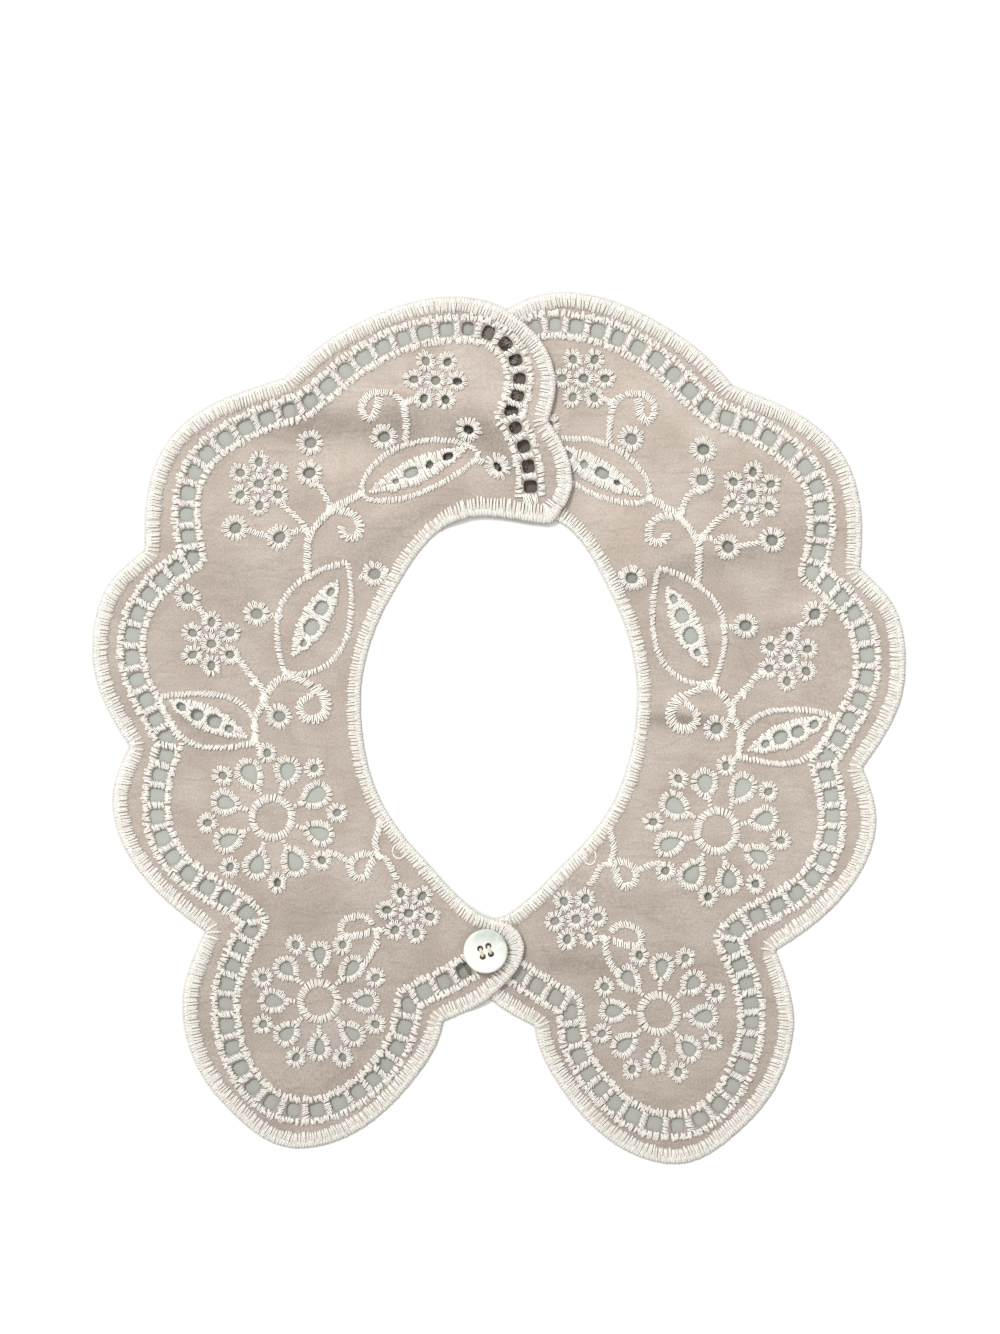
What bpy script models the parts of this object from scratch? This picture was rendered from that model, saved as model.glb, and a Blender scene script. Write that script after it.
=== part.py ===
"""Broderie anglaise collar: two mirrored halves of scalloped cotton, lapped at the back of the neck
and at the front, where a four-hole pearl button fastens them. It lies flat, as on a table.

The pattern is drafted once, for the left half, in millimetres, seen from above with the neck opening
near the middle and the front towards -Y. The right half is its mirror image, turned a little and moved
into its place under the left half. The finished collar's origin is the middle of the box round it, at
the surface that it lies on. Blender objects are in metres.
"""

import math

import bmesh
import bpy
import numpy as np
from mathutils import Matrix, Vector
from mathutils.geometry import delaunay_2d_cdt

MM = 0.001
TINY = 1e-12
ON_LINE = 0.05
MERGE = 0.01

# Driving dimensions, in millimetres
CLOTH = 1.0
LADDER_TOP = 1.35
EDGE_TOP = 1.6
RING_TOP = 1.5
SEAM_GAP = 0.3
EDGE_WIDTH = 5.5
NECK_EDGE_WIDTH = 4.4
BAND_SLOPE = 0.7
LADDER_WIDTH = 9.6
LADDER_HOLE = 5.1
LAP_MARGIN = 1.0
LAP_RAMP = 11.0
LAP_RAMP_LINES = 4
OUTLINE_STEP = 4.6
RELIEF_STEP = 6.4
RIDGE_WIDTH = 2.2
ROSETTE_RING = 6.4
LEAF_VEIN = 0.34
SMALL_FLOWER_RADIUS = 7.4
EYELET_RADIUS = 3.4
PETAL_RING = 2.0
SQUARISH = 0.5
LEAF_FULLNESS = 0.85
PETAL_DROP = 0.12
BUTTON_DIAMETER = 15.0
BUTTON_THICKNESS = 2.4
BUTTON_DISH = 0.4
BUTTON_HOLE = 1.9
BUTTON_HOLE_SPACING = 2.9
BUTTON_TURN = 18.0
BUTTON_BASE = 4.0
BUTTONHOLE_LENGTH = 12.6
BUTTONHOLE_WIDTH = 1.8
THREAD = 0.8
STITCH_BEND = 0.5
TIE_RADIUS = 2.7
SHANK_HALF_LENGTH = 1.8
DRILL_SPARE = 1.0
ROUND_SIDES = 16
BUTTON_SIDES = 32

# How the right half lies: the left half's mirror image, eased across and along by these shares as the
# soft cloth lies, then turned (degrees) and moved.
RIGHT_EASE = (0.99, 1.014)
RIGHT_TURN = -3.62
RIGHT_MOVE = (0.24, 0.63)
# The middle of the finished collar's box, in the draft.
MIDDLE = (0.184, -0.557)

# The outer edge, from the foot of the back end round to the front tip, one row for each place where
# the edge turns. Columns: place, x, y, heading on arriving, heading on leaving (degrees from +X).
OUTER_EDGE = [
    ("back end foot", 21.8, 74.3, 55, 55),
    ("back end crown", 24.9, 83.1, 90, 90),
    ("back end notch", 16.6, 103.9, 128, 68),
    ("first scallop side", 19.2, 116.5, 90, 90),
    ("first scallop corner", 7.5, 137.9, 142, 142),
    ("first scallop crown", -15.0, 145.8, 180, 180),
    ("first scallop slope", -50.7, 135.2, 208, 208),
    ("back notch", -72.4, 118.2, 228, 198),
    ("second scallop", -109.0, 100.6, 226, 226),
    ("side notch", -119.9, 60.0, 272, 222),
    ("third scallop corner", -132.9, 47.1, 240, 240),
    ("third scallop crown", -137.7, 25.3, 270, 270),
    ("front notch", -125.1, -6.6, 304, 245),
    ("fourth scallop crown", -130.9, -25.0, 270, 270),
    ("fourth scallop corner", -122.1, -48.8, 307, 307),
    ("lobe notch", -99.3, -69.5, 326, 246),
    ("lobe side", -107.1, -94.7, 270, 270),
    ("lobe corner", -94.2, -127.0, 313, 313),
    ("lobe foot", -68.3, -143.0, 0, 0),
    ("lobe rise", -31.3, -122.6, 50, 50),
    ("tip notch", -19.0, -100.1, 80, 25),
    ("tip underside", -3.4, -92.0, 40, 40),
    ("tip crown", 8.5, -75.3, 88, 88),
    ("tip top", 1.5, -66.3, 165, 165),
]
# The neck edge, from the front tip back to the back end. Columns as above.
NECK_EDGE = [
    ("tip top", 1.5, -66.3, 165, 165),
    ("neck front", -6.9, -63.7, 146, 146),
    ("neck low", -26.9, -43.7, 133, 133),
    ("neck bend", -42.6, -19.9, 110, 110),
    ("neck side", -47.2, 7.0, 91, 91),
    ("neck high", -37.1, 43.9, 60, 60),
    ("neck shoulder", -23.5, 63.9, 46, 46),
    ("neck back", -9.5, 71.4, 10, 10),
    ("neck end", 16.5, 69.2, 359, 359),
    ("back end foot", 21.8, 74.3, 55, 55),
]
# The middle of the ladder of square holes, with the number of holes from the back end to each place.
# Columns: place, x, y, heading on arriving, heading on leaving, holes so far.
LADDER = [
    ("back end", 10.9, 78.0, 90, 90, 0.5),
    ("end corner", 3.4, 104.9, 128, 66, 4.6),
    ("first side", 7.1, 118.0, 93, 93, 7.0),
    ("first corner", 0.3, 131.6, 145, 145, 9.4),
    ("first crown", -13.3, 135.2, 181, 181, 11.4),
    ("first slope", -32.3, 131.9, 199, 199, 14.0),
    ("second slope", -52.0, 120.9, 219, 219, 17.0),
    ("back corner", -66.6, 108.8, 215, 197, 19.4),
    ("second crown", -86.0, 101.8, 208, 208, 22.0),
    ("second corner", -101.7, 89.6, 236, 236, 24.5),
    ("second side", -106.1, 73.6, 268, 268, 26.8),
    ("side corner", -103.9, 57.4, 283, 212, 29.0),
    ("third corner", -119.3, 44.4, 234, 234, 32.1),
    ("third crown", -124.8, 26.0, 270, 270, 34.7),
    ("third side", -119.7, 9.0, 297, 297, 37.0),
    ("front corner", -111.5, -6.0, 303, 245, 39.4),
    ("fourth crown", -116.3, -26.7, 271, 271, 42.5),
    ("fourth corner", -110.8, -44.4, 306, 306, 45.0),
    ("fourth side", -92.5, -58.3, 331, 331, 48.0),
    ("lobe corner", -82.9, -66.4, 310, 242, 49.5),
    ("lobe side", -92.8, -94.0, 270, 270, 54.0),
    ("lobe turn", -83.0, -122.9, 311, 311, 58.1),
    ("lobe crown", -66.5, -130.6, 0, 0, 60.4),
    ("lobe rise", -47.6, -123.9, 38, 38, 63.0),
    ("lobe inside", -34.7, -109.3, 62, 62, 66.0),
    ("tip corner", -30.2, -92.3, 82, 25, 68.3),
    ("front end", -8.5, -80.8, 33, 33, 71.5),
]
# Flowers of six eyelets round a seventh. Columns: name, x, y, turn (degrees).
SMALL_FLOWERS = [
    ("back flower", -21.4, 117.6, -3),
    ("shoulder flower", -81.4, 82.5, 30),
    ("side flower", -97.6, 28.1, 30),
    ("front flower", -30.6, -63.4, 51),
]
# Flowers of eight drop-shaped petals with a small eyelet between each two.
# Columns: name, x, y, petal radius, eyelet radius, turn (degrees), petal opening's length and width.
LARGE_FLOWERS = [
    ("side rosette", -76.9, -31.0, 16.8, 22.1, 27, 6.2, 4.9),
    ("lobe rosette", -60.9, -93.3, 15.6, 20.7, 0, 5.4, 4.3),
]
# Eyelets on their own. Columns: name, x, y.
LONE_EYELETS = [
    ("back pair, upper", -63.9, 96.4),
    ("back pair, lower", -64.3, 86.2),
    ("between flower and leaf", -39.0, 98.4),
    ("near the side notch", -89.4, 67.5),
    ("over the leaf", -74.5, 64.3),
    ("by the back end", -10.2, 100.8),
    ("at the back end", -0.3, 88.2),
    ("by the neck", -42.2, 51.9),
    ("beside the side flower", -105.6, 43.7),
    ("left of the leaf", -82.2, 38.3),
    ("under the leaf", -74.5, 3.4),
]
# Leaves. Columns: name, base x, y, tip x, y, swell to the left and where along, swell to the right
# and where along (left and right as seen from the base towards the tip).
LEAVES = [
    ("back leaf", -46.6, 79.1, -7.1, 91.6, 10.9, 0.45, 5.8, 0.35),
    ("neck leaf", -72.4, 18.5, -51.3, 55.6, 12.6, 0.50, 12.6, 0.38),
    ("side leaf", -82.6, -5.6, -115.0, 9.7, 9.2, 0.55, 10.2, 0.36),
]
# Larger openings in the leaves. Columns: leaf, x, y, length, width, heading (degrees).
LEAF_OPENINGS = [
    ("back leaf", -29.6, 86.5, 4.6, 2.8, 25),
    ("neck leaf", -60.2, 40.3, 4.9, 4.2, 55),
    ("neck leaf", -63.6, 33.8, 5.6, 4.8, 60),
    ("side leaf", -102.3, 3.9, 4.2, 3.6, -28),
    ("side leaf", -96.6, 1.9, 5.0, 4.2, -28),
]
BUTTON_DRAFTED = (-4.4, -76.0)
# The button's section from the axis above to the axis below. Columns: share of the radius, share of
# the thickness, share of the dish taken off.
BUTTON_SECTION = [
    (0.0, 1.0, 1.0),
    (0.55, 1.0, 0.75),
    (0.78, 1.0, 0.0),
    (0.9, 1.0, 0.0),
    (0.98, 0.8, 0.0),
    (1.0, 0.5, 0.0),
    (0.93, 0.18, 0.0),
    (0.75, 0.0, 0.0),
    (0.0, 0.0, 0.0),
]
# How a stitch bends into its hole. Columns: share of the bend along, share of the bend down.
STITCH_CORNER = [(0.0, 1.0), (0.4, 0.35), (1.2, 0.0)]


def scallop_curve(rows, step):
    """Points along the rows' places, each stretch a Bezier curve that leaves and arrives on its heading.

    Also gives the number of the point at each row's place."""
    points = [np.array(rows[0][1:3], float)]
    stations = [0]
    for start, end in zip(rows, rows[1:]):
        first = np.array(start[1:3], float)
        last = np.array(end[1:3], float)
        leave = math.radians(start[4])
        arrive = math.radians(end[3])
        chord = np.linalg.norm(last - first)
        turn = abs((arrive - leave + math.pi) % (2 * math.pi) - math.pi)
        reach = chord / (3 * math.cos(turn / 4) ** 2)
        near = first + reach * np.array([math.cos(leave), math.sin(leave)])
        far = last - reach * np.array([math.cos(arrive), math.sin(arrive)])
        count = max(2, round(chord / step))
        for index in range(1, count + 1):
            t = index / count
            u = 1 - t
            points.append(u**3 * first + 3 * u**2 * t * near + 3 * u * t**2 * far + t**3 * last)
        stations.append(len(points) - 1)
    return np.array(points), stations


def distance_to_line(points, line, closed=False):
    """The distance from each point to the nearest place on a line."""
    points = np.atleast_2d(points)
    ends = np.vstack([line, line[:1]]) if closed else line
    starts = ends[:-1]
    runs = ends[1:] - starts
    squares = np.maximum((runs**2).sum(axis=1), TINY)
    offset = points[:, None, :] - starts[None, :, :]
    share = np.clip((offset * runs[None]).sum(axis=2) / squares[None], 0, 1)
    nearest = starts[None] + share[..., None] * runs[None]
    return np.sqrt(((points[:, None, :] - nearest) ** 2).sum(axis=2)).min(axis=1)


def inside(points, loop):
    """Whether each point is inside a closed loop."""
    x = points[:, 0][:, None]
    y = points[:, 1][:, None]
    x0, y0 = loop[:, 0][None], loop[:, 1][None]
    x1, y1 = np.roll(loop[:, 0], -1)[None], np.roll(loop[:, 1], -1)[None]
    crosses = (y0 > y) != (y1 > y)
    rise = np.where(y1 == y0, TINY, y1 - y0)
    at = x0 + (y - y0) * (x1 - x0) / rise
    return (crosses & (x < at)).sum(axis=1) % 2 == 1


def offset_line(line, distance, closed=False):
    """The line moved to its left by distance, with mitred corners, less what would cross itself."""
    least_share = 0.97
    before = np.roll(line, 1, axis=0)
    after = np.roll(line, -1, axis=0)
    if not closed:
        before[0] = 2 * line[0] - line[1]
        after[-1] = 2 * line[-1] - line[-2]
    arriving = line - before
    leaving = after - line
    arriving /= np.linalg.norm(arriving, axis=1)[:, None]
    leaving /= np.linalg.norm(leaving, axis=1)[:, None]
    left_in = np.column_stack([-arriving[:, 1], arriving[:, 0]])
    left_out = np.column_stack([-leaving[:, 1], leaving[:, 0]])
    middle = left_in + left_out
    middle /= np.linalg.norm(middle, axis=1)[:, None]
    stretch = 1 / (middle * left_in).sum(axis=1)
    moved = line + middle * stretch[:, None] * distance
    clear = distance_to_line(moved, line, closed) > abs(distance) * least_share
    return moved[clear]


def as_drafted(points):
    """The left half lies as it is drafted."""
    return np.atleast_2d(points) - np.array(MIDDLE)


def as_mirrored(points):
    """The right half is the draft mirrored, eased, turned and moved. The order is turned round too."""
    turn = math.radians(RIGHT_TURN)
    points = np.atleast_2d(points)[::-1]
    x = -points[:, 0] * RIGHT_EASE[0]
    y = points[:, 1] * RIGHT_EASE[1]
    laid_x = x * math.cos(turn) - y * math.sin(turn) + RIGHT_MOVE[0]
    laid_y = x * math.sin(turn) + y * math.cos(turn) + RIGHT_MOVE[1]
    return np.column_stack([laid_x, laid_y]) - np.array(MIDDLE)


def oval(centre, heading, length, width, sides, drop=0.0, power=1.0):
    """A closed loop round a centre: an ellipse, squarer where power is under 1, narrower at its near
    end where drop is over 0, as a petal is."""
    c, s = math.cos(heading), math.sin(heading)
    points = []
    for index in range(sides):
        angle = 2 * math.pi * (index + 0.5) / sides
        u = math.copysign(abs(math.cos(angle)) ** power, math.cos(angle)) * length / 2
        v = math.copysign(abs(math.sin(angle)) ** power, math.sin(angle)) * width / 2
        v *= 1 + drop * math.cos(angle)
        points.append((centre[0] + c * u - s * v, centre[1] + s * u + c * v))
    return np.array(points)


def around(x, y, radius, turn, count):
    """Places evenly round a centre, each with its heading from it."""
    places = []
    for index in range(count):
        angle = math.radians(turn + 360 * index / count)
        places.append(((x + radius * math.cos(angle), y + radius * math.sin(angle)), angle))
    return places


def ladder_holes(line, stations):
    """The square holes of the ladder, spaced by the holes that its table counts to each place."""
    look = 0.22
    along = np.concatenate([[0.0], np.cumsum(np.linalg.norm(np.diff(line, axis=0), axis=1))])
    counted = [row[5] for row in LADDER]
    holes = []
    for number in range(1, int(counted[-1]) + 1):
        reach = np.interp([number - look, number, number + look], counted, along[stations])
        x = np.interp(reach, along, line[:, 0])
        y = np.interp(reach, along, line[:, 1])
        heading = math.atan2(y[2] - y[0], x[2] - x[0])
        holes.append(oval((x[1], y[1]), heading, LADDER_HOLE, LADDER_HOLE, 8, power=SQUARISH))
    return holes


def leaf_loop(row, swell, sides):
    """A leaf's outline, its two sides swelling by a share of the table's swells."""
    base = np.array(row[1:3])
    run = np.array(row[3:5]) - base
    left = np.array([-run[1], run[0]]) / np.linalg.norm(run)
    share = np.linspace(0, 1, sides + 1)[:, None]
    loop = []
    for way, most, belly in ((-1, row[7], row[8]), (1, row[5], row[6])):
        height = np.sin(math.pi * share ** (math.log(0.5) / math.log(belly))) ** LEAF_FULLNESS
        side = base + share * run + way * swell * most * height * left
        loop.append(side[:-1] if way < 0 else side[::-1][:-1])
    return np.vstack(loop)


def draft():
    """The pattern of one half: its outline, its openings and the lines where its relief changes."""
    ladder, stations = scallop_curve(LADDER, 1.0)
    petals = []
    rings = []
    rosette_eyelets = []
    for _, x, y, petal_radius, eyelet_radius, turn, length, width in LARGE_FLOWERS:
        for place, heading in around(x, y, petal_radius, turn, 8):
            petals.append((place, heading, length, width))
        rosette_eyelets += around(x, y, eyelet_radius, turn + 22.5, 8)
        rings.append(oval((x, y), math.radians(turn), 2 * ROSETTE_RING, 2 * ROSETTE_RING, 12))
    eyelets = [(x, y) for _, x, y in LONE_EYELETS]
    eyelets += [place for place, _ in rosette_eyelets]
    for _, x, y, turn in SMALL_FLOWERS:
        eyelets.append((x, y))
        eyelets += [place for place, _ in around(x, y, SMALL_FLOWER_RADIUS, turn, 6)]
    leaf_holes = []
    for _, x, y, length, width, heading in LEAF_OPENINGS:
        leaf_holes.append(oval((x, y), math.radians(heading), length, width, 8))
    petal_holes = []
    petal_feet = []
    for place, heading, length, width in petals:
        petal_holes.append(oval(place, heading, length, width, 8, PETAL_DROP))
        petal_feet.append(oval(place, heading, length + 2 * PETAL_RING, width + 2 * PETAL_RING, 8))
    return {
        "outer": scallop_curve(OUTER_EDGE, OUTLINE_STEP)[0],
        "neck": scallop_curve(NECK_EDGE, OUTLINE_STEP)[0],
        "coarse_outer": scallop_curve(OUTER_EDGE, RELIEF_STEP)[0],
        "coarse_neck": scallop_curve(NECK_EDGE, RELIEF_STEP)[0],
        "coarse_ladder": scallop_curve(LADDER, RELIEF_STEP)[0],
        "ladder_holes": ladder_holes(ladder, stations),
        "petal_holes": petal_holes,
        "petal_feet": petal_feet,
        "leaf_holes": leaf_holes,
        "veins": [leaf_loop(row, LEAF_VEIN, 6) for row in LEAVES],
        "ridges": [leaf_loop(row, 1.0, 8) for row in LEAVES] + rings,
        "eyelets": eyelets,
    }


def band_loop(line, width):
    """A closed loop as wide as a band, along its middle line."""
    return np.vstack([offset_line(line, width / 2), offset_line(line, -width / 2)[::-1]])


def edge_loop(laid, shrink):
    """A closed loop inside the outline, in from it by the worked edge's width less shrink."""
    outer_width = EDGE_WIDTH - shrink
    neck_width = NECK_EDGE_WIDTH - shrink
    outer = laid["coarse_outer"]
    neck = laid["coarse_neck"]
    outer_line = offset_line(outer, outer_width)
    outer_line = outer_line[distance_to_line(outer_line, neck) > neck_width]
    neck_line = offset_line(neck, neck_width)
    neck_line = neck_line[distance_to_line(neck_line, outer) > outer_width]
    return np.vstack([outer_line, neck_line])


def lay_out(pattern, lay):
    """The pattern's lines where this half of the collar lies."""
    laid = {}
    for name, value in pattern.items():
        if name == "eyelets":
            laid[name] = [lay([place])[0] for place in value]
        elif isinstance(value, list):
            laid[name] = [lay(loop) for loop in value]
        else:
            laid[name] = lay(value)
    return laid


def outline_of(laid):
    """The closed, anticlockwise outline of a laid half."""
    return np.vstack([laid["outer"][:-1], laid["neck"][:-1]])


def wall_heights(points, laid):
    """The cloth's thickness at each point: higher on the worked edge, the ladder and round the petals."""
    height = np.full(len(points), CLOTH)
    for centre in laid["eyelets"]:
        height[np.hypot(*(points - centre).T) < ON_LINE] = RING_TOP
    for loop in laid["petal_holes"] + laid["leaf_holes"] + laid["ridges"]:
        height[distance_to_line(points, loop, True) < ON_LINE] = RING_TOP
    on_ladder = inside(points, band_loop(laid["coarse_ladder"], LADDER_WIDTH - BAND_SLOPE))
    height[on_ladder] = LADDER_TOP
    height[~inside(points, edge_loop(laid, BAND_SLOPE / 2))] = EDGE_TOP
    return height


def lap_lift(points, under):
    """How far the left half's underside is lifted where it passes over the right half's outline."""
    if under is None:
        return np.zeros(len(points))
    apart = distance_to_line(points, under, True)
    apart[inside(points, under)] = 0
    share = 1 - np.clip((apart - LAP_MARGIN) / (LAP_RAMP - LAP_MARGIN), 0, 1)
    return (EDGE_TOP + SEAM_GAP) * share * share * (3 - 2 * share)


def panel(name, laid, material, under=None, buttonhole=None):
    """One half of the collar: an open sheet with its openings, thickened by a Solidify modifier."""
    outline = outline_of(laid)
    openings = laid["ladder_holes"] + laid["petal_holes"] + laid["leaf_holes"]
    if buttonhole is not None:
        openings = openings + [buttonhole]
    loops = [outline, *openings, *laid["petal_feet"], *laid["veins"], *laid["ridges"]]
    for shrink in (0.0, BAND_SLOPE):
        loops.append(edge_loop(laid, shrink))
        loops.append(band_loop(laid["coarse_ladder"], LADDER_WIDTH - 2 * shrink))
    for ridge in laid["ridges"]:
        loops.append(offset_line(ridge, RIDGE_WIDTH / 2, True))
        loops.append(offset_line(ridge, -RIDGE_WIDTH / 2, True))
    for centre in laid["eyelets"]:
        loops.append(oval(centre, 0, 2 * EYELET_RADIUS, 2 * EYELET_RADIUS, 6))
    if under is not None:
        for reach in np.linspace(LAP_MARGIN, LAP_RAMP, LAP_RAMP_LINES + 1):
            loops.append(offset_line(under, -reach, True))
    points = [Vector(centre) for centre in laid["eyelets"]]
    edges = []
    for loop in loops:
        first = len(points)
        points += [Vector(point) for point in loop]
        edges += [(first + index, first + (index + 1) % len(loop)) for index in range(len(loop))]
    found, _, triangles, *_ = delaunay_2d_cdt(points, edges, [], 0, MERGE / 100)
    flat = np.array([tuple(point) for point in found])
    middles = flat[np.array(triangles)].mean(axis=1)
    kept = inside(middles, outline)
    for loop in openings:
        kept &= ~inside(middles, loop)
    lift = lap_lift(flat, under)
    heights = wall_heights(flat, laid)

    sheet = bmesh.new()
    weights = sheet.verts.layers.deform.verify()
    corners = [sheet.verts.new((x * MM, y * MM, z * MM)) for (x, y), z in zip(flat, lift)]
    for triangle, wanted in zip(triangles, kept):
        if wanted:
            sheet.faces.new([corners[index] for index in triangle])
    loose = [corner for corner in sheet.verts if not corner.link_faces]
    for corner, height in zip(corners, heights):
        corner[weights][0] = height / EDGE_TOP
    bmesh.ops.delete(sheet, geom=loose, context="VERTS")
    bmesh.ops.recalc_face_normals(sheet, faces=sheet.faces)
    if sum(face.normal.z for face in sheet.faces) < 0:
        bmesh.ops.reverse_faces(sheet, faces=sheet.faces)
    mesh = bpy.data.meshes.new(name)
    sheet.to_mesh(mesh)
    sheet.free()
    mesh.materials.append(material)
    obj = bpy.data.objects.new(name, mesh)
    obj.vertex_groups.new(name="thickness")
    wall = obj.modifiers.new("cloth wall", "SOLIDIFY")
    wall.thickness = EDGE_TOP * MM
    wall.offset = 1
    wall.vertex_group = "thickness"
    return obj


def turned(name, profile, steps, material):
    """A round piece: a profile in millimetres, from the axis at the top round to the axis below."""
    mesh = bpy.data.meshes.new(name)
    edges = [(index, index + 1) for index in range(len(profile) - 1)]
    mesh.from_pydata([(r * MM, 0, z * MM) for r, z in profile], edges, [])
    mesh.materials.append(material)
    obj = bpy.data.objects.new(name, mesh)
    spin = obj.modifiers.new("turn", "SCREW")
    spin.steps = steps
    spin.render_steps = steps
    spin.use_merge_vertices = True
    spin.merge_threshold = MERGE * MM
    return obj


def cut(obj, cutter, operation="DIFFERENCE"):
    """Cuts the cutter out of a piece, or joins it on."""
    boolean = obj.modifiers.new(cutter.name, "BOOLEAN")
    boolean.operation = operation
    boolean.object = cutter
    cutter.hide_render = True
    cutter.display_type = "WIRE"


def rod(name, place, radii, bottom, top, heading=0.0):
    """An upright cylinder or flattened cylinder between two heights, in millimetres."""
    mesh = bpy.data.meshes.new(name)
    shape = bmesh.new()
    bmesh.ops.create_cone(shape, cap_ends=True, segments=ROUND_SIDES, radius1=1, radius2=1, depth=1)
    shape.to_mesh(mesh)
    shape.free()
    size = Matrix.Diagonal((radii[0] * MM, radii[1] * MM, (top - bottom) * MM, 1))
    middle = Vector((place[0] * MM, place[1] * MM, (bottom + top) / 2 * MM))
    mesh.transform(Matrix.Translation(middle) @ Matrix.Rotation(heading, 4, "Z") @ size)
    return bpy.data.objects.new(name, mesh)


def thread_loop(name, start, end, low, high):
    """One stitch over the button: up through a hole, across and down through another, as a mesh."""
    start = np.array(start)
    end = np.array(end)
    across = (end - start) / np.linalg.norm(end - start)
    rise = [(*start, low)]
    fall = [(*end, low)]
    for along, down in STITCH_CORNER:
        rise.append((*(start + across * STITCH_BEND * along), high - STITCH_BEND * down))
        fall.append((*(end - across * STITCH_BEND * along), high - STITCH_BEND * down))
    route = rise + fall[::-1]
    curve = bpy.data.curves.new(name, "CURVE")
    curve.dimensions = "3D"
    curve.bevel_depth = THREAD / 2 * MM
    curve.bevel_resolution = 2
    curve.use_fill_caps = True
    spline = curve.splines.new("POLY")
    spline.points.add(len(route) - 1)
    for point, place in zip(spline.points, route):
        point.co = (*(value * MM for value in place), 1)
    tube = bpy.data.objects.new(name + "_route", curve)
    bpy.context.scene.collection.objects.link(tube)
    graph = bpy.context.evaluated_depsgraph_get()
    mesh = bpy.data.meshes.new_from_object(tube.evaluated_get(graph))
    bpy.data.objects.remove(tube)
    shape = bmesh.new()
    shape.from_mesh(mesh)
    bmesh.ops.remove_doubles(shape, verts=shape.verts, dist=MERGE * MM)
    shape.to_mesh(mesh)
    shape.free()
    return bpy.data.objects.new(name, mesh)


def plain_material(name, colour, roughness):
    """A matt or glossy material with one colour."""
    material = bpy.data.materials.new(name)
    material.use_nodes = True
    shader = material.node_tree.nodes["Principled BSDF"]
    shader.inputs["Base Color"].default_value = (*colour, 1)
    shader.inputs["Roughness"].default_value = roughness
    shader.inputs["Metallic"].default_value = 0
    return material


def clear_scene():
    """Takes out whatever the new file opened with."""
    for obj in list(bpy.data.objects):
        bpy.data.objects.remove(obj, do_unlink=True)


def new_collection(name):
    """A collection in the scene."""
    found = bpy.data.collections.new(name)
    bpy.context.scene.collection.children.link(found)
    return found


def button_holes(place):
    """The four holes' places, in order round their square."""
    reach = BUTTON_HOLE_SPACING / math.sqrt(2)
    return [hole for hole, _ in around(*place, reach, BUTTON_TURN + 45, 4)]


def build_button(place, material, cutters):
    """The four-hole button, its underside just above the left half's worked edge."""
    radius = BUTTON_DIAMETER / 2
    profile = []
    for out, up, dish in BUTTON_SECTION:
        profile.append((radius * out, BUTTON_THICKNESS * up - BUTTON_DISH * dish))
    button = turned("button", profile, BUTTON_SIDES, material)
    button.location = (place[0] * MM, place[1] * MM, BUTTON_BASE * MM)
    drill_radii = (BUTTON_HOLE / 2, BUTTON_HOLE / 2)
    bottom = BUTTON_BASE - DRILL_SPARE
    top = BUTTON_BASE + BUTTON_THICKNESS + DRILL_SPARE
    for number, hole in enumerate(button_holes(place)):
        drill = rod(f"button_drill_{number}", hole, drill_radii, bottom, top)
        cutters.objects.link(drill)
        cut(button, drill)
    return button


def build_button_thread(place, material, cutters):
    """Two stitches over the button, tied under it to a shank that passes the hidden buttonhole."""
    holes = button_holes(place)
    tie_bottom = EDGE_TOP + SEAM_GAP + CLOTH + SEAM_GAP
    tie_top = BUTTON_BASE - SEAM_GAP
    over = BUTTON_BASE + BUTTON_THICKNESS - BUTTON_DISH + SEAM_GAP + THREAD / 2
    low = (tie_bottom + tie_top) / 2
    tie = rod("button_thread", place, (TIE_RADIUS, TIE_RADIUS), tie_bottom, tie_top)
    tie.data.materials.append(material)
    for number, (start, end) in enumerate(((holes[0], holes[3]), (holes[1], holes[2]))):
        stitch = thread_loop(f"stitch_{number}", start, end, low, over)
        cutters.objects.link(stitch)
        cut(tie, stitch, "UNION")
    bottom = EDGE_TOP + SEAM_GAP
    shank = rod("shank", place, (SHANK_HALF_LENGTH, BUTTONHOLE_WIDTH / 2 - SEAM_GAP), bottom, low)
    cutters.objects.link(shank)
    cut(tie, shank, "UNION")
    return tie


def main():
    """Drafts the pattern, lays out both halves and sews the button on."""
    clear_scene()
    collar = new_collection("broderie_anglaise_collar")
    cutters = new_collection("cutters")
    cotton = plain_material("taupe_cotton", (0.54, 0.45, 0.39), 0.9)
    pearl = plain_material("pearl", (0.85, 0.86, 0.82), 0.2)
    thread = plain_material("cream_thread", (0.82, 0.77, 0.68), 0.7)

    pattern = draft()
    left = lay_out(pattern, as_drafted)
    right = lay_out(pattern, as_mirrored)
    button_place = as_drafted(BUTTON_DRAFTED)[0]
    buttonhole = oval(button_place, 0, BUTTONHOLE_LENGTH, BUTTONHOLE_WIDTH, 12, power=SQUARISH)
    pieces = [
        panel("collar_right", right, cotton),
        panel("collar_left", left, cotton, outline_of(right), buttonhole),
        build_button(button_place, pearl, cutters),
        build_button_thread(button_place, thread, cutters),
    ]
    for piece in pieces:
        collar.objects.link(piece)
    for name in ("button", "button_thread"):
        bpy.data.objects[name].data.shade_smooth()


main()
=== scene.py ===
# %% [markdown]
# A broderie anglaise collar, laid flat
#
# The collar is two mirrored halves of thin cotton, cut to scallops and worked all over with cream
# thread: a stitched edge, a ladder of square holes, flowers and leaves of eyelets, and thin stems.
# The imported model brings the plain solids. This script dresses them: first the frame is loaded, then
# the camera and the light are set, and then the cloth and every kind of stitch are made in turn.

# %% Load the frame
import math

import bpy
import numpy as np
from mathutils import Matrix, Vector
from mathutils.geometry import delaunay_2d_cdt


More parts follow.
